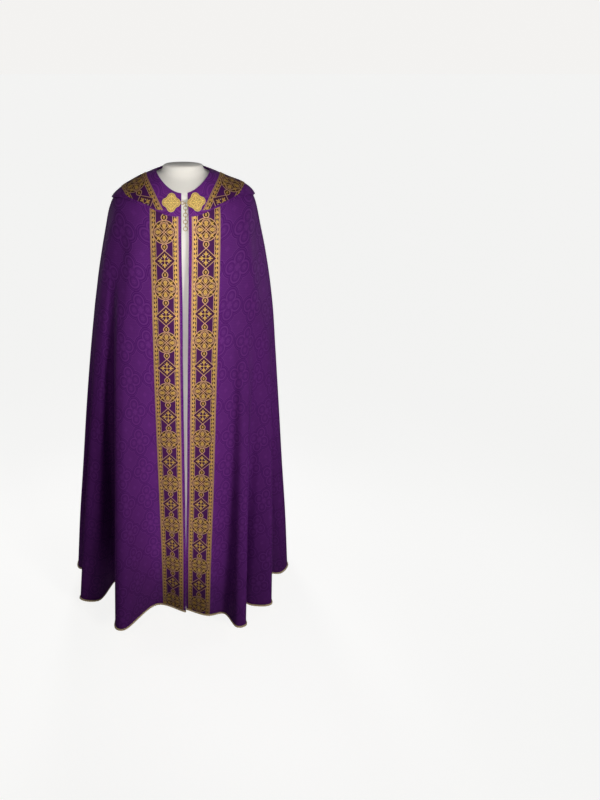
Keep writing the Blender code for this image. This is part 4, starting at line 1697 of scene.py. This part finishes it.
@dataclass
class Hood(Maker):
    """The pointed hood over the shoulders, with its three galloon bands."""

    cut: Cut
    damask: Material
    centre_galloon: Material
    side_galloon: Material
    columns: int = 176
    rows: int = 54
    tip_clear: float = 0.0040
    tip_from: float = 4.0
    tip_levels: float = 5.0
    wave_height: float = 0.0022
    wave_from: float = 3.0
    wave_levels: float = 3.0
    thick: float = 0.0016
    band_gap: float = 0.0004
    band_thick: float = 0.0011
    band_rows: int = 110
    band_columns: int = 13
    centre_top: float = 0.12
    centre_set: float = 8.0
    centre_edge: float = 0.04
    chart_columns: int = 241
    chart_rows: int = 101
    chart_depth: float = 10.0

    def edge(self, turn: Array) -> Array:
        """Find the hood's outer edge.

        Args:
            turn: Angles round the body.

        Returns:
            Its ring levels there.
        """
        degrees = np.degrees(turn)
        degrees = np.where(degrees <= 180.0, degrees, 360.0 - degrees)
        rows = np.array(HOOD_EDGE, float)
        index = np.interp(degrees, rows[:, 0], np.arange(len(rows)))
        return smooth_rows(rows, index)[..., 1]

    def height(self, turn: Array, level: Array) -> Array:
        """Height of the hood's inner face over the mantle, with its soft waves.

        Args:
            turn: Angles round the body.
            level: Ring levels.

        Returns:
            The heights.
        """
        rise = np.minimum(level / HOOD_RISE_LEVELS, 1.0)
        tip = np.maximum(level - self.tip_from, 0.0) / self.tip_levels
        base = HOOD_NECK_CLEAR + (HOOD_BODY_CLEAR - HOOD_NECK_CLEAR) * rise
        base = base + self.tip_clear * tip * tip
        wave = 0.5 + 0.5 * np.sin(3.1 * turn + 0.9 * level + 0.7) * np.sin(1.3 * level + 1.9)
        fall = np.clip((level - self.wave_from) / self.wave_levels, 0.0, 1.0)
        return base + self.wave_height * wave * fall

    def front_turn(self, turn: Array, level: Array) -> Array:
        """Keep the hood's two front edges on the mantle's at every level.

        Args:
            turn: Angles round the body at the neck.
            level: Ring levels.

        Returns:
            Angles round the body.
        """
        placed = np.empty(np.broadcast(turn, level).shape)
        turn, level = np.broadcast_arrays(turn, level)
        for side in Side:
            near = (turn <= math.pi) if side is Side.LEFT else (turn > math.pi)
            top = self.cut.zone_turn(0.0, 0.0, side)
            edge = self.cut.zone_turn(level[near], 0.0, side)
            share = (turn[near] - math.pi) / (top - math.pi)
            placed[near] = math.pi + share * (edge - math.pi)
        return placed

    def flat(self, turn: Array, level: Array) -> Array:
        """Lay points of the hood out flat, centre back upright.

        Args:
            turn: Angles round the body.
            level: Ring levels.

        Returns:
            Their place on the flat cloth.
        """
        turns = np.linspace(0.0, 2.0 * math.pi, self.chart_columns)
        levels = np.linspace(0.0, self.chart_depth, self.chart_rows)
        flat = self.cut.flat_grid(self.cut.body(turns[:, None], levels[None, :]))
        column = turn / turns[1]
        row = level / levels[1]
        c = np.clip(column.astype(int), 0, len(turns) - 2)
        r = np.clip(row.astype(int), 0, len(levels) - 2)
        u = (column - c)[..., None]
        v = (row - r)[..., None]
        top = flat[c, r] * (1.0 - u) + flat[c + 1, r] * u
        low = flat[c, r + 1] * (1.0 - u) + flat[c + 1, r + 1] * u
        return top * (1.0 - v) + low * v

    def build(self) -> None:
        """Make the hood and lay its bands on it."""
        left = float(self.cut.zone_turn(0.0, 0.0, Side.LEFT))
        right = float(self.cut.zone_turn(0.0, 0.0, Side.RIGHT))
        half = self.columns // 2
        halves = (np.linspace(left, math.pi, half + 1)[:-1], np.linspace(math.pi, right, half + 1))
        turns = np.concatenate(halves)
        level = self.edge(turns)[:, None] * np.linspace(0.0, 1.0, self.rows)
        turn = self.front_turn(turns[:, None], level)
        height = self.height(turn, level)
        outer = self.cut.raised(turn, level, height + self.thick)
        inner = self.cut.raised(turn, level, height)
        cloth = shell("hood_damask", outer, inner, self.flat(turn, level))
        self.place(cloth, self.damask, "purple_damask", "hood")
        self.centre_band(cloth)
        for side in Side:
            self.diagonal_band(side, cloth)

    def band(
        self, word: str, turn: Array, level: Array, finish: Material, side: Side | None = None
    ) -> Piece:
        """Make one galloon band over the hood.

        Args:
            word: Its place, as its names say it.
            turn: Angles of its grid, columns along the band.
            level: Ring levels of its grid.
            finish: Its material.
            side: Which shoulder it crosses, or None for the centre back.

        Returns:
            The band.
        """
        low = self.height(turn, level) + self.thick + self.band_gap
        outer = self.cut.raised(turn, level, low + self.band_thick)
        inner = self.cut.raised(turn, level, low)
        if side is None:
            flat = band_flat(outer, self.cut.band_width)
        else:
            flat = edge_flat(outer, self.cut.band_width, side)
        band = shell(f"hood_orphrey_{word}", outer, inner, flat)
        self.place(band, finish, "gold_galloon", f"hood_band_{word}")
        return band

    def turn_at(self, x: Array, level: Array) -> Array:
        """Find points of the back by their distance from its middle line.

        Args:
            x: Distances, rightwards.
            level: Ring levels.

        Returns:
            Angles round the body.
        """
        ring = smooth_rows(RINGS, level)
        share = np.minimum(np.abs(x) / ring[..., 0], 1.0)
        return math.pi + np.sign(x) * np.arcsin(share ** (self.cut.squareness(level) / 2.0))

    def centre_band(self, cloth: Piece) -> None:
        """Make the band down the centre back.

        Args:
            cloth: Not used.
        """
        width = self.cut.band_width
        x = np.linspace(-0.5 * width, 0.5 * width, self.band_columns)[:, None]
        edge = self.edge(self.turn_at(x, np.full_like(x, self.centre_set))) - self.centre_edge
        level = self.centre_top + (edge - self.centre_top) * np.linspace(0.0, 1.0, self.band_rows)
        turn = self.turn_at(np.broadcast_to(x, level.shape), level)
        band = self.band("centre", turn, level, self.centre_galloon)

    def diagonal_band(self, side: Side, cloth: Piece) -> None:
        """Make one of the bands that run from the centre back over a shoulder.

        Args:
            side: Which shoulder.
            cloth: Not used.
        """
        index = np.linspace(0.0, len(DIAGONAL_BAND) - 1.0, self.band_rows)
        row = smooth_rows(DIAGONAL_BAND, index)
        share = np.linspace(0.0, 1.0, self.band_columns)[:, None]
        turn = np.radians(row[:, 0] + (row[:, 2] - row[:, 0]) * share)
        level = row[:, 1] + (row[:, 3] - row[:, 1]) * share
        if side is Side.RIGHT:
            turn = 2.0 * math.pi - turn[::-1]
            level = level[::-1]
        band = self.band(side.name.lower(), turn, level, self.side_galloon, side)


@dataclass
class DressForm(Maker):
    """The limbless dress form, a padded body under cream stretch cloth."""

    cut: Cut
    cloth: Material
    columns: int = 112
    between: int = 5
    clear: float = 0.0022
    chest_clear: float = 0.0120
    mantle_thick: float = 0.0020
    shoulder_levels: tuple[float, ...] = (0.0, 0.8, 1.6, 2.5, 3.3, 4.1, 4.8)
    # half_width, side_z, front_y, front_z, back_y, back_z
    neck: tuple = (
        (0.0540, 1.5800, -0.0480, 1.5800, 0.0560, 1.5800),
        (0.0590, 1.5770, -0.0530, 1.5765, 0.0610, 1.5775),
        (0.0615, 1.5700, -0.0575, 1.5640, 0.0640, 1.5720),
        (0.0670, 1.5610, -0.0720, 1.5420, 0.0690, 1.5660),
    )
    trunk: tuple = (
        (0.2100, 1.450, -0.1290, 1.340, 0.1350, 1.380),
        (0.2060, 1.390, -0.1340, 1.270, 0.1350, 1.310),
        (0.1920, 1.290, -0.1380, 1.190, 0.1340, 1.220),
        (0.1780, 1.150, -0.1420, 1.070, 0.1340, 1.090),
        (0.1760, 0.950, -0.1500, 0.900, 0.1420, 0.900),
        (0.1800, 0.650, -0.1620, 0.650, 0.1560, 0.650),
        (0.1860, 0.300, -0.1700, 0.300, 0.1660, 0.300),
        (0.1900, 0.012, -0.1740, 0.012, 0.1720, 0.012),
        (0.1860, 0.000, -0.1700, 0.000, 0.1680, 0.000),
    )

    def build(self) -> None:
        """Make the body as one closed smooth skin."""
        turn = 2.0 * math.pi * np.arange(self.columns) / self.columns
        rings = []
        for row in self.neck:
            rings.append(self.cut.oval(np.array(row), self.cut.neck_squareness, turn))
        for level in self.shoulder_levels:
            chest = np.maximum(np.cos(turn), 0.0) ** 2 * min(level / self.cut.band_top, 1.0)
            depth = self.mantle_thick + self.clear + self.chest_clear * chest
            rings.append(self.cut.raised(turn, np.full_like(turn, level), -depth))
        for row in self.trunk:
            rings.append(self.cut.oval(np.array(row), self.cut.body_squareness, turn))
        count = (len(rings) - 2) * self.between + 1
        upper = smooth_rows(np.array(rings[:-1]), np.linspace(0.0, len(rings) - 2.0, count))
        # reversed, because the rings run clockwise seen from above
        points = np.concatenate((upper, np.array(rings[-1:])))[:, ::-1]
        body = mesh_object("form_body", points, tube_faces(len(points), self.columns))
        self.place(body, self.cloth, "cream_form", "dress_form")


# ---- metal and drop


@dataclass
class Clasp(Maker):
    """Two cast quatrefoil plates with the eye and the hook between them."""

    cut: Cut
    cast: Material
    metal: Material
    tip: float = 0.0272
    waist: float = 0.0296
    waist_limit: float = 0.86
    lobe_radius: float = 0.0125
    thick: float = 0.0026
    side_share: float = 0.8
    outline_points: int = 96
    # the rolled rim, step by step: width inwards, rise
    rim_steps: tuple = (
        (0.0004, 0.0006), (0.0005, 0.0003), (0.0005, -0.0003), (0.0004, -0.0008), (0.0010, 0.0),
    )
    field_height: float = 0.0021
    relief_height: float = 0.0007
    sink: float = 0.0002
    # relief of one lobe: distance out, swing, half-axes, turn added
    leaves: tuple = (
        (0.0188, 0.00, (0.0040, 0.0020, 0.0020), 0.0),
        (0.0180, 0.25, (0.0030, 0.0015, 0.0017), 0.5),
        (0.0180, -0.25, (0.0030, 0.0015, 0.0017), -0.5),
        (0.0152, 0.46, (0.0030, 0.0014, 0.0016), 1.1),
        (0.0152, -0.46, (0.0030, 0.0014, 0.0016), -1.1),
        (0.0130, 0.00, (0.0016, 0.0016, 0.0018), 0.0),
        (0.0078, 0.00, (0.0034, 0.0019, 0.0020), 0.0),
        (0.0072, 0.785, (0.0030, 0.0015, 0.0017), 0.0),
        (0.0128, 0.785, (0.0028, 0.0013, 0.0016), 1.57),
        (0.0160, 0.785, (0.0024, 0.0012, 0.0015), 0.0),
    )
    heart: Triple = (0.0032, 0.0032, 0.0028)
    # the boss, in radii: height of its floor, and height, half-width and depth of its crease
    boss_floor: float = -0.3
    crease_above: float = 0.3
    crease_half: float = 0.1
    crease_depth: float = 0.26
    left_x: float = -0.0337
    right_x: float = 0.0385
    level: float = 1.72
    lift: float = 0.0015
    right_tilt: float = math.radians(9.0)
    hood_thick: float = 0.0018
    seat_rounds: int = 6
    wire: float = 0.0009
    eye_radius: float = 0.0045
    tab_size: Triple = (0.0016, 0.0014, 0.0040)
    tab_set: float = 0.0008
    tab_bevel: float = 0.0004
    standoff: float = 0.0100
    gap: float = 0.0003
    chain_x: float = 0.0072
    # the hook's end: distance past the eye, distance behind the bar
    curl: tuple = ((0.0014, 0.0004), (0.0002, 0.0017), (0.0006, 0.0041), (0.0020, 0.0055))

    def reach(self, angle: float) -> float:
        """Measure a plate from its centre to its lobed edge.

        Args:
            angle: Direction in the plate's plane.

        Returns:
            The distance.
        """
        slant = abs(math.cos(angle)) + abs(math.sin(angle))
        far = min(self.waist / slant, self.waist_limit * self.tip)
        centre = self.tip - self.lobe_radius
        for lobe in range(4):
            away = angle - lobe * math.pi / 2.0
            inside = self.lobe_radius**2 - (centre * math.sin(away)) ** 2
            if inside > 0.0 and math.cos(away) > 0.0:
                far = max(far, centre * math.cos(away) + math.sqrt(inside))
        return far

    def seat(self, x: float) -> Matrix:
        """Find where a plate sits on the hood.

        Args:
            x: Place of its centre, right of the middle.

        Returns:
            The plate's frame: right, up, outwards and its centre.
        """
        ring = smooth_rows(RINGS, np.array(self.level))
        rise = min(self.level / HOOD_RISE_LEVELS, 1.0)
        base = HOOD_NECK_CLEAR + (HOOD_BODY_CLEAR - HOOD_NECK_CLEAR) * rise
        height = base + self.hood_thick + self.lift
        aim = x
        for _ in range(self.seat_rounds):
            turn = np.array(-math.asin(aim / ring[0]))
            centre = self.cut.raised(turn, np.array(self.level), height)
            aim += x - centre[0]
        out = Vector(unit(centre - self.cut.body(turn, np.array(self.level))))
        right = out.cross(Vector((0.0, 0.0, -1.0))).normalized()
        up = right.cross(-out)
        seat = Matrix((right, up, out)).transposed().to_4x4()
        seat.translation = Vector(centre)
        return seat

    def base_plate(self) -> Piece:
        """Model the lobed plate: outline, thickness, rolled rim and sunk field.

        Returns:
            The plate, flat at the origin.
        """
        clear_choice()
        bpy.ops.mesh.primitive_circle_add(
            vertices=self.outline_points, radius=self.tip, fill_type="NGON"
        )
        plate = bpy.context.object
        for vertex in plate.data.vertices:
            angle = math.atan2(vertex.co.y, vertex.co.x)
            vertex.co.xy = vertex.co.xy.normalized() * self.reach(angle)
        edit_all()
        up = (0.0, 0.0, self.side_share * self.thick)
        bpy.ops.mesh.extrude_region_move(TRANSFORM_OT_translate={"value": up})
        for width, rise in self.rim_steps:
            bpy.ops.mesh.inset(thickness=width, depth=rise)
        bpy.ops.object.mode_set(mode="OBJECT")
        return plate

    def boss(self) -> Piece:
        """Model the boss that all the relief repeats: a cut ball with a crease along its back.

        Returns:
            The boss, of radius 1 at the origin.
        """
        clear_choice()
        bpy.ops.mesh.primitive_uv_sphere_add(segments=14, ring_count=8, radius=1.0)
        boss = bpy.context.object
        edit_all()
        bpy.ops.mesh.bisect(
            plane_co=(0.0, 0.0, self.boss_floor),
            plane_no=(0.0, 0.0, 1.0),
            clear_inner=True,
            use_fill=True,
        )
        pick(boss, lambda at: at.z > self.crease_above and abs(at.y) < self.crease_half)
        bpy.ops.transform.translate(value=(0.0, 0.0, -self.crease_depth))
        bpy.ops.object.mode_set(mode="OBJECT")
        return boss

    def relief(self) -> list[Piece]:
        """Model the relief of a plate: leaves in every lobe, a central flower and beads.

        Returns:
            Its pieces, on the plate's field.
        """
        face = self.field_height - self.sink
        boss = self.boss()
        pieces = []
        for quarter in range(4):
            for out, swing, size, added in self.leaves:
                angle = quarter * math.pi / 2.0 + swing
                at = Matrix.Translation((out * math.cos(angle), out * math.sin(angle), face))
                turn = Matrix.Rotation(angle + added, 4, "Z")
                pieces.append(copy_at(boss, "leaf", at @ turn @ Matrix.Diagonal((*size, 1.0))))
        heart = Matrix.Translation((0.0, 0.0, face)) @ Matrix.Diagonal((*self.heart, 1.0))
        pieces.append(copy_at(boss, "heart", heart))
        bpy.data.objects.remove(boss)
        return pieces

    def plate(self, side: Side, x: float, tilt: float) -> Vector:
        """Make one whole plate in its place.

        Args:
            side: Which of the two.
            x: Place of its centre, right of the middle.
            tilt: Its turn on the cloth.

        Returns:
            Its centre.
        """
        word = side.name.lower()
        plate = join_as(f"clasp_cast_{word}", [self.base_plate(), *self.relief()])
        # height of the relief, 0 on the field and 1 on top, which the cast finish turns into painted
        # highlight and painted shade
        relief = plate.data.attributes.new(DEPTH_MAP, "FLOAT", "POINT")
        for vertex, value in zip(plate.data.vertices, relief.data):
            value.value = min(max((vertex.co.z - self.field_height) / self.relief_height, 0.0), 1.0)
        seat = self.seat(x)
        settle(plate, seat @ Matrix.Rotation(tilt, 4, "Z"), SMOOTH_METAL)
        self.place(plate, self.cast, "gold_metal", f"clasp_plate_{word}")
        return seat.translation

    def eye(self, at: Vector) -> None:
        """Make the eye: a wire ring with a flat tab towards the left plate.

        Args:
            at: Middle of the ring.
        """
        clear_choice()
        bpy.ops.mesh.primitive_torus_add(
            location=at,
            rotation=(math.pi / 2.0, 0.0, 0.0),
            major_segments=32,
            minor_segments=10,
            major_radius=self.eye_radius,
            minor_radius=self.wire,
        )
        eye = bpy.context.object
        beside = at + Vector((-self.eye_radius - self.tab_set, 0.0, 0.0))
        bpy.ops.mesh.primitive_cube_add(size=1.0, location=beside)
        tab = bpy.context.object
        tab.scale = self.tab_size
        bpy.ops.object.transform_apply(location=False, rotation=False, scale=True)
        edit_all()
        bpy.ops.mesh.bevel(offset=self.tab_bevel, segments=2)
        bpy.ops.object.mode_set(mode="OBJECT")
        self.place(join_as("clasp_wire_eye", [eye, tab]), self.metal, "gold_metal", "clasp_eye")

    def build(self) -> None:
        """Make the two plates, the eye and the hook."""
        left = self.plate(Side.LEFT, self.left_x, 0.0)
        right = self.plate(Side.RIGHT, self.right_x, self.right_tilt)
        front = min(left.y, right.y) - self.standoff
        height = 0.5 * (left.z + right.z)
        eye_x = self.left_x + self.tip + self.gap + self.wire + self.eye_radius
        self.eye(Vector((eye_x, front, height)))
        bar = front - 2.0 * self.wire - self.gap
        start = self.right_x - self.tip - self.gap
        route = [(x, bar, height) for x in (start, self.chain_x + self.wire, eye_x + self.eye_radius)]
        route += [(eye_x + along, bar + back, height) for along, back in self.curl]
        hook = bent_wire("clasp_wire_hook", route, self.wire)
        self.place(hook, self.metal, "gold_metal", "clasp_hook")


@dataclass
class Chain(Maker):
    """The short chain of round rings that hangs from the hook."""

    metal: Material
    count: int = 8
    radius: float = 0.0060
    wire: float = 0.0009
    joint_half: float = 0.0007
    joint_swell: float = 1.25
    turn_step: float = 0.6
    body: str = "chain"

    def ring(self) -> Piece:
        """Model the ring that the chain repeats: a round wire with a soldered joint.

        Returns:
            The ring, flat at the origin.
        """
        clear_choice()
        bpy.ops.mesh.primitive_torus_add(
            major_segments=36,
            minor_segments=10,
            major_radius=self.radius,
            minor_radius=self.wire,
        )
        ring = bpy.context.object
        pick(ring, lambda at: at.x > 0.0 and abs(at.y) < self.joint_half)
        joint = (self.radius, 0.0, 0.0)
        swell = (self.joint_swell, 1.0, self.joint_swell)
        bpy.ops.transform.resize(value=swell, center_override=joint)
        bpy.ops.object.mode_set(mode="OBJECT")
        bpy.ops.object.shade_smooth()
        return ring

    def build(self) -> None:
        """Copy the ring to every place where a plain solid is, each turned a little further."""
        ring = self.ring()
        for number in range(1, self.count + 1):
            node = f"chain_ring_{number}"
            low, high = (Vector(corner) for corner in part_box(node))
            axis = "Y" if (high - low).x < (high - low).y else "X"
            face = Matrix.Rotation(math.pi / 2.0, 4, axis)
            turn = Matrix.Rotation(self.turn_step * number, 4, "Z")
            place = Matrix.Translation(0.5 * (low + high)) @ face @ turn
            link = copy_at(ring, f"ring_link_{number}", place)
            self.place(link, self.metal, "gold_metal", node)
        bpy.data.objects.remove(ring)


@dataclass
class TipDrop(Maker):
    """The clear two-part drop on a short thread at the tip of the hood."""

    thread: Material
    acrylic: Material
    radius: float = 0.0050
    thread_radius: float = 0.0007
    sides: int = 40
    gap: float = 0.0003
    end_reach: float = 1e-3
    body: str = "drop"
    # distance along the drop, share of its radius
    upper: tuple = (
        (0.0, 0.40), (0.0008, 0.62), (0.0022, 0.78), (0.0036, 0.98), (0.0060, 1.0),
        (0.0420, 1.0), (0.0445, 0.96), (0.0462, 0.78), (0.0474, 0.55), (0.0480, 0.36),
    )
    lower: tuple = (
        (0.0, 0.38), (0.0006, 0.62), (0.0016, 0.82), (0.0034, 0.96), (0.0200, 0.93),
        (0.0252, 0.86), (0.0272, 0.72), (0.0282, 0.56), (0.0287, 0.38),
    )

    def turned(self, word: str, profile: tuple, top: Vector, axis: Vector) -> None:
        """Draw a turned piece out along its profile, ring by ring.

        Args:
            word: Which half it is, as its names say it.
            profile: Distance along and share of the radius.
            top: Middle of its upper end.
            axis: Direction that it hangs in.
        """
        clear_choice()
        bpy.ops.mesh.primitive_circle_add(
            vertices=self.sides, radius=profile[0][1] * self.radius, fill_type="NGON"
        )
        piece = bpy.context.object
        edit_all()
        for before, after in zip(profile[:-1], profile[1:]):
            down = (0.0, 0.0, before[0] - after[0])
            bpy.ops.mesh.extrude_region_move(TRANSFORM_OT_translate={"value": down})
            share = after[1] / before[1]
            bpy.ops.transform.resize(value=(share, share, 1.0))
        bpy.ops.object.mode_set(mode="OBJECT")
        turn = Vector((0.0, 0.0, -1.0)).rotation_difference(axis).to_matrix().to_4x4()
        settle(piece, Matrix.Translation(top) @ turn, SMOOTH_DROP)
        piece.name = f"drop_{word}_clear"
        piece.data.name = piece.name
        self.place(piece, self.acrylic, "clear_acrylic", f"tip_drop_{word}")

    def build(self) -> None:
        """Make the thread and both halves of the drop, on the line of the thread's solid."""
        points = np.array([vertex.co[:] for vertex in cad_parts["tip_cord"].data.vertices])
        height = points[:, 2]
        high = points[height > height.max() - self.end_reach].mean(0)
        low = points[height < height.min() + self.end_reach].mean(0)
        axis = Vector(low - high).normalized()
        start = Vector(high)
        length = (Vector(low) - start).length
        top = start + axis * (length + self.gap)
        self.turned("upper", self.upper, top, axis)
        top = top + axis * (self.upper[-1][0] + self.gap)
        self.turned("lower", self.lower, top, axis)
        route = [start + axis * (length * share) for share in (0.0, 0.2, 0.5, 0.8, 1.0)]
        thread = bent_wire("tip_thread", route, self.thread_radius)
        self.place(thread, self.thread, "purple_cord", "tip_cord")


# ---- studio


@dataclass(frozen=True)
class Lamp:
    """One soft studio lamp, in metres, watts and degrees."""

    name: str
    place: Triple
    aim: Triple
    size: float
    power: float
    spread: float
    colour: Colour = (1.0, 0.985, 0.97)
    tall: float = 0.0

    def build(self) -> None:
        """Make the lamp and turn it to its aim."""
        light = bpy.data.lights.new(self.name, "AREA")
        light.shape = "RECTANGLE" if self.tall else "DISK"
        light.size = self.size
        light.size_y = self.tall or self.size
        light.energy = self.power
        light.spread = math.radians(self.spread)
        light.color = self.colour
        lamp = bpy.data.objects.new(self.name, light)
        lamp.location = self.place
        lamp.visible_camera = False
        way = Vector(self.aim) - Vector(self.place)
        lamp.rotation_euler = way.to_track_quat("-Z", "Y").to_euler()
        bpy.context.scene.collection.objects.link(lamp)


@dataclass
class Studio:
    """Pale floor, soft light and the camera."""

    floor_size: float = 400.0
    floor_drop: float = 0.0005
    sight: float = 1000.0
    lens: float = 30.29
    shift: Pair = (0.14625, -0.00625)
    place: Triple = (0.0, -2.116, 1.842)
    pitch: float = 64.0
    lamps: tuple[Lamp, ...] = (
        Lamp("key_high", (1.00, -2.00, 1.85), (0.0, -0.15, 1.35), 0.5, 1.75, 52.0),
        Lamp("key_low", (1.25, -1.80, 0.90), (0.0, -0.25, 0.50), 0.5, 1.45, 60.0),
        Lamp("fill", (-0.80, -2.15, 1.90), (0.0, -0.15, 1.30), 0.4, 0.22, 46.0),
        Lamp("front", (0.0, -2.30, 0.95), (0.0, -0.10, 0.95), 0.10, 0.48, 10.0, tall=1.5),
        Lamp("collar", (0.20, -2.20, 2.00), (0.0, -0.12, 1.52), 0.20, 0.017, 14.0),
        Lamp("below", (0.0, 0.0, 0.002), (0.0, 0.0, 1.0), 1.3, 1.6, 70.0),
        Lamp("back", (-0.30, 2.20, 1.20), (0.0, 0.15, 1.10), 0.6, 5.4, 90.0),
        Lamp("left", (-2.30, 1.10, 1.3), (0.0, 0.0, 1.0), 1.2, 1.8, 120.0, (0.97, 0.98, 1.0)),
        Lamp("right", (2.40, 0.60, 1.3), (0.0, 0.0, 1.0), 1.2, 1.9, 120.0, (0.97, 0.98, 1.0)),
    )
    backdrop: Colour = (0.90, 0.89, 0.875)
    # height of the direction, strength
    sky: tuple = ((-0.03, 0.02), (0.02, 0.20), (0.40, 0.13), (1.0, 0.09))

    def make_sky(self) -> bpy.types.World:
        """Make a soft sky, seen by the camera as a plain pale backdrop.

        Returns:
            The world that holds it.
        """
        world = bpy.data.worlds.new("studio")
        world.use_nodes = True
        tree = world.node_tree
        place = tree.nodes.new("ShaderNodeTexCoord")
        split = tree.nodes.new("ShaderNodeSeparateXYZ")
        tree.links.new(place.outputs["Generated"], split.inputs[0])
        height = Shade(tree, split.outputs[2]) * 0.5 + 0.5
        ramp = tree.nodes.new("ShaderNodeValToRGB")
        tree.links.new(height.socket, ramp.inputs["Fac"])
        stops = ramp.color_ramp.elements
        while len(stops) < len(self.sky):
            stops.new(0.5)
        for stop, (rise, strength) in zip(stops, self.sky):
            stop.position = 0.5 * rise + 0.5
            stop.color = (strength, strength, strength, 1.0)
        tree.links.new(ramp.outputs["Color"], tree.nodes["Background"].inputs["Color"])
        pale = tree.nodes.new("ShaderNodeBackground")
        pale.inputs["Color"].default_value = (*self.backdrop, 1.0)
        seen = tree.nodes.new("ShaderNodeLightPath")
        mixed = tree.nodes.new("ShaderNodeMixShader")
        lit = tree.nodes["Background"].outputs[0]
        for socket, source in enumerate((seen.outputs["Is Camera Ray"], lit, pale.outputs[0])):
            tree.links.new(source, mixed.inputs[socket])
        tree.links.new(mixed.outputs[0], tree.nodes["World Output"].inputs["Surface"])
        return world

    def build(self) -> None:
        """Set the floor, the lights, the sky and the camera."""
        clear_choice()
        under = (0.0, 0.0, -self.floor_drop)
        bpy.ops.mesh.primitive_plane_add(size=self.floor_size, location=under)
        floor = bpy.context.object
        floor.name = "studio_floor"
        floor.data.materials.append(Paper().make())
        floor.visible_diffuse = False
        floor.visible_glossy = False
        for lamp in self.lamps:
            lamp.build()
        bpy.context.scene.world = self.make_sky()
        bpy.context.scene.view_settings.view_transform = "Standard"
        camera = bpy.data.cameras.new("camera")
        camera.lens = self.lens
        camera.shift_x, camera.shift_y = self.shift
        camera.clip_end = self.sight
        eye = bpy.data.objects.new("camera", camera)
        eye.location = self.place
        eye.rotation_euler = (math.radians(self.pitch), 0.0, 0.0)
        bpy.context.scene.collection.objects.link(eye)
        bpy.context.scene.camera = eye
        log.info("studio: %d lamps", len(self.lamps))


def main() -> None:
    """Build every piece in order."""
    logging.basicConfig(level=logging.INFO, format="%(name)s: %(message)s", force=True)
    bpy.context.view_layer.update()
    Studio().build()
    cut = Cut()
    damask = Damask().make()
    metal = Metal().make()
    fronts = {
        Side.LEFT: Galloon("galloon_front_left", first=55.0).make(),
        Side.RIGHT: Galloon("galloon_front_right", first=52.0).make(),
    }
    centre = Galloon("galloon_hood_centre", first=88.9).make()
    sides = Galloon("galloon_hood_sides", first=17.0).make()
    DressForm(cut, FormCloth().make()).build()
    Mantle(cut, damask, fronts, Piping().make()).build()
    Hood(cut, damask, centre, sides).build()
    Clasp(cut, Metal(Working.CAST).make(), metal).build()
    Chain(metal).build()
    TipDrop(Thread().make(), Acrylic().make()).build()


if __name__ == "__main__":
    main()
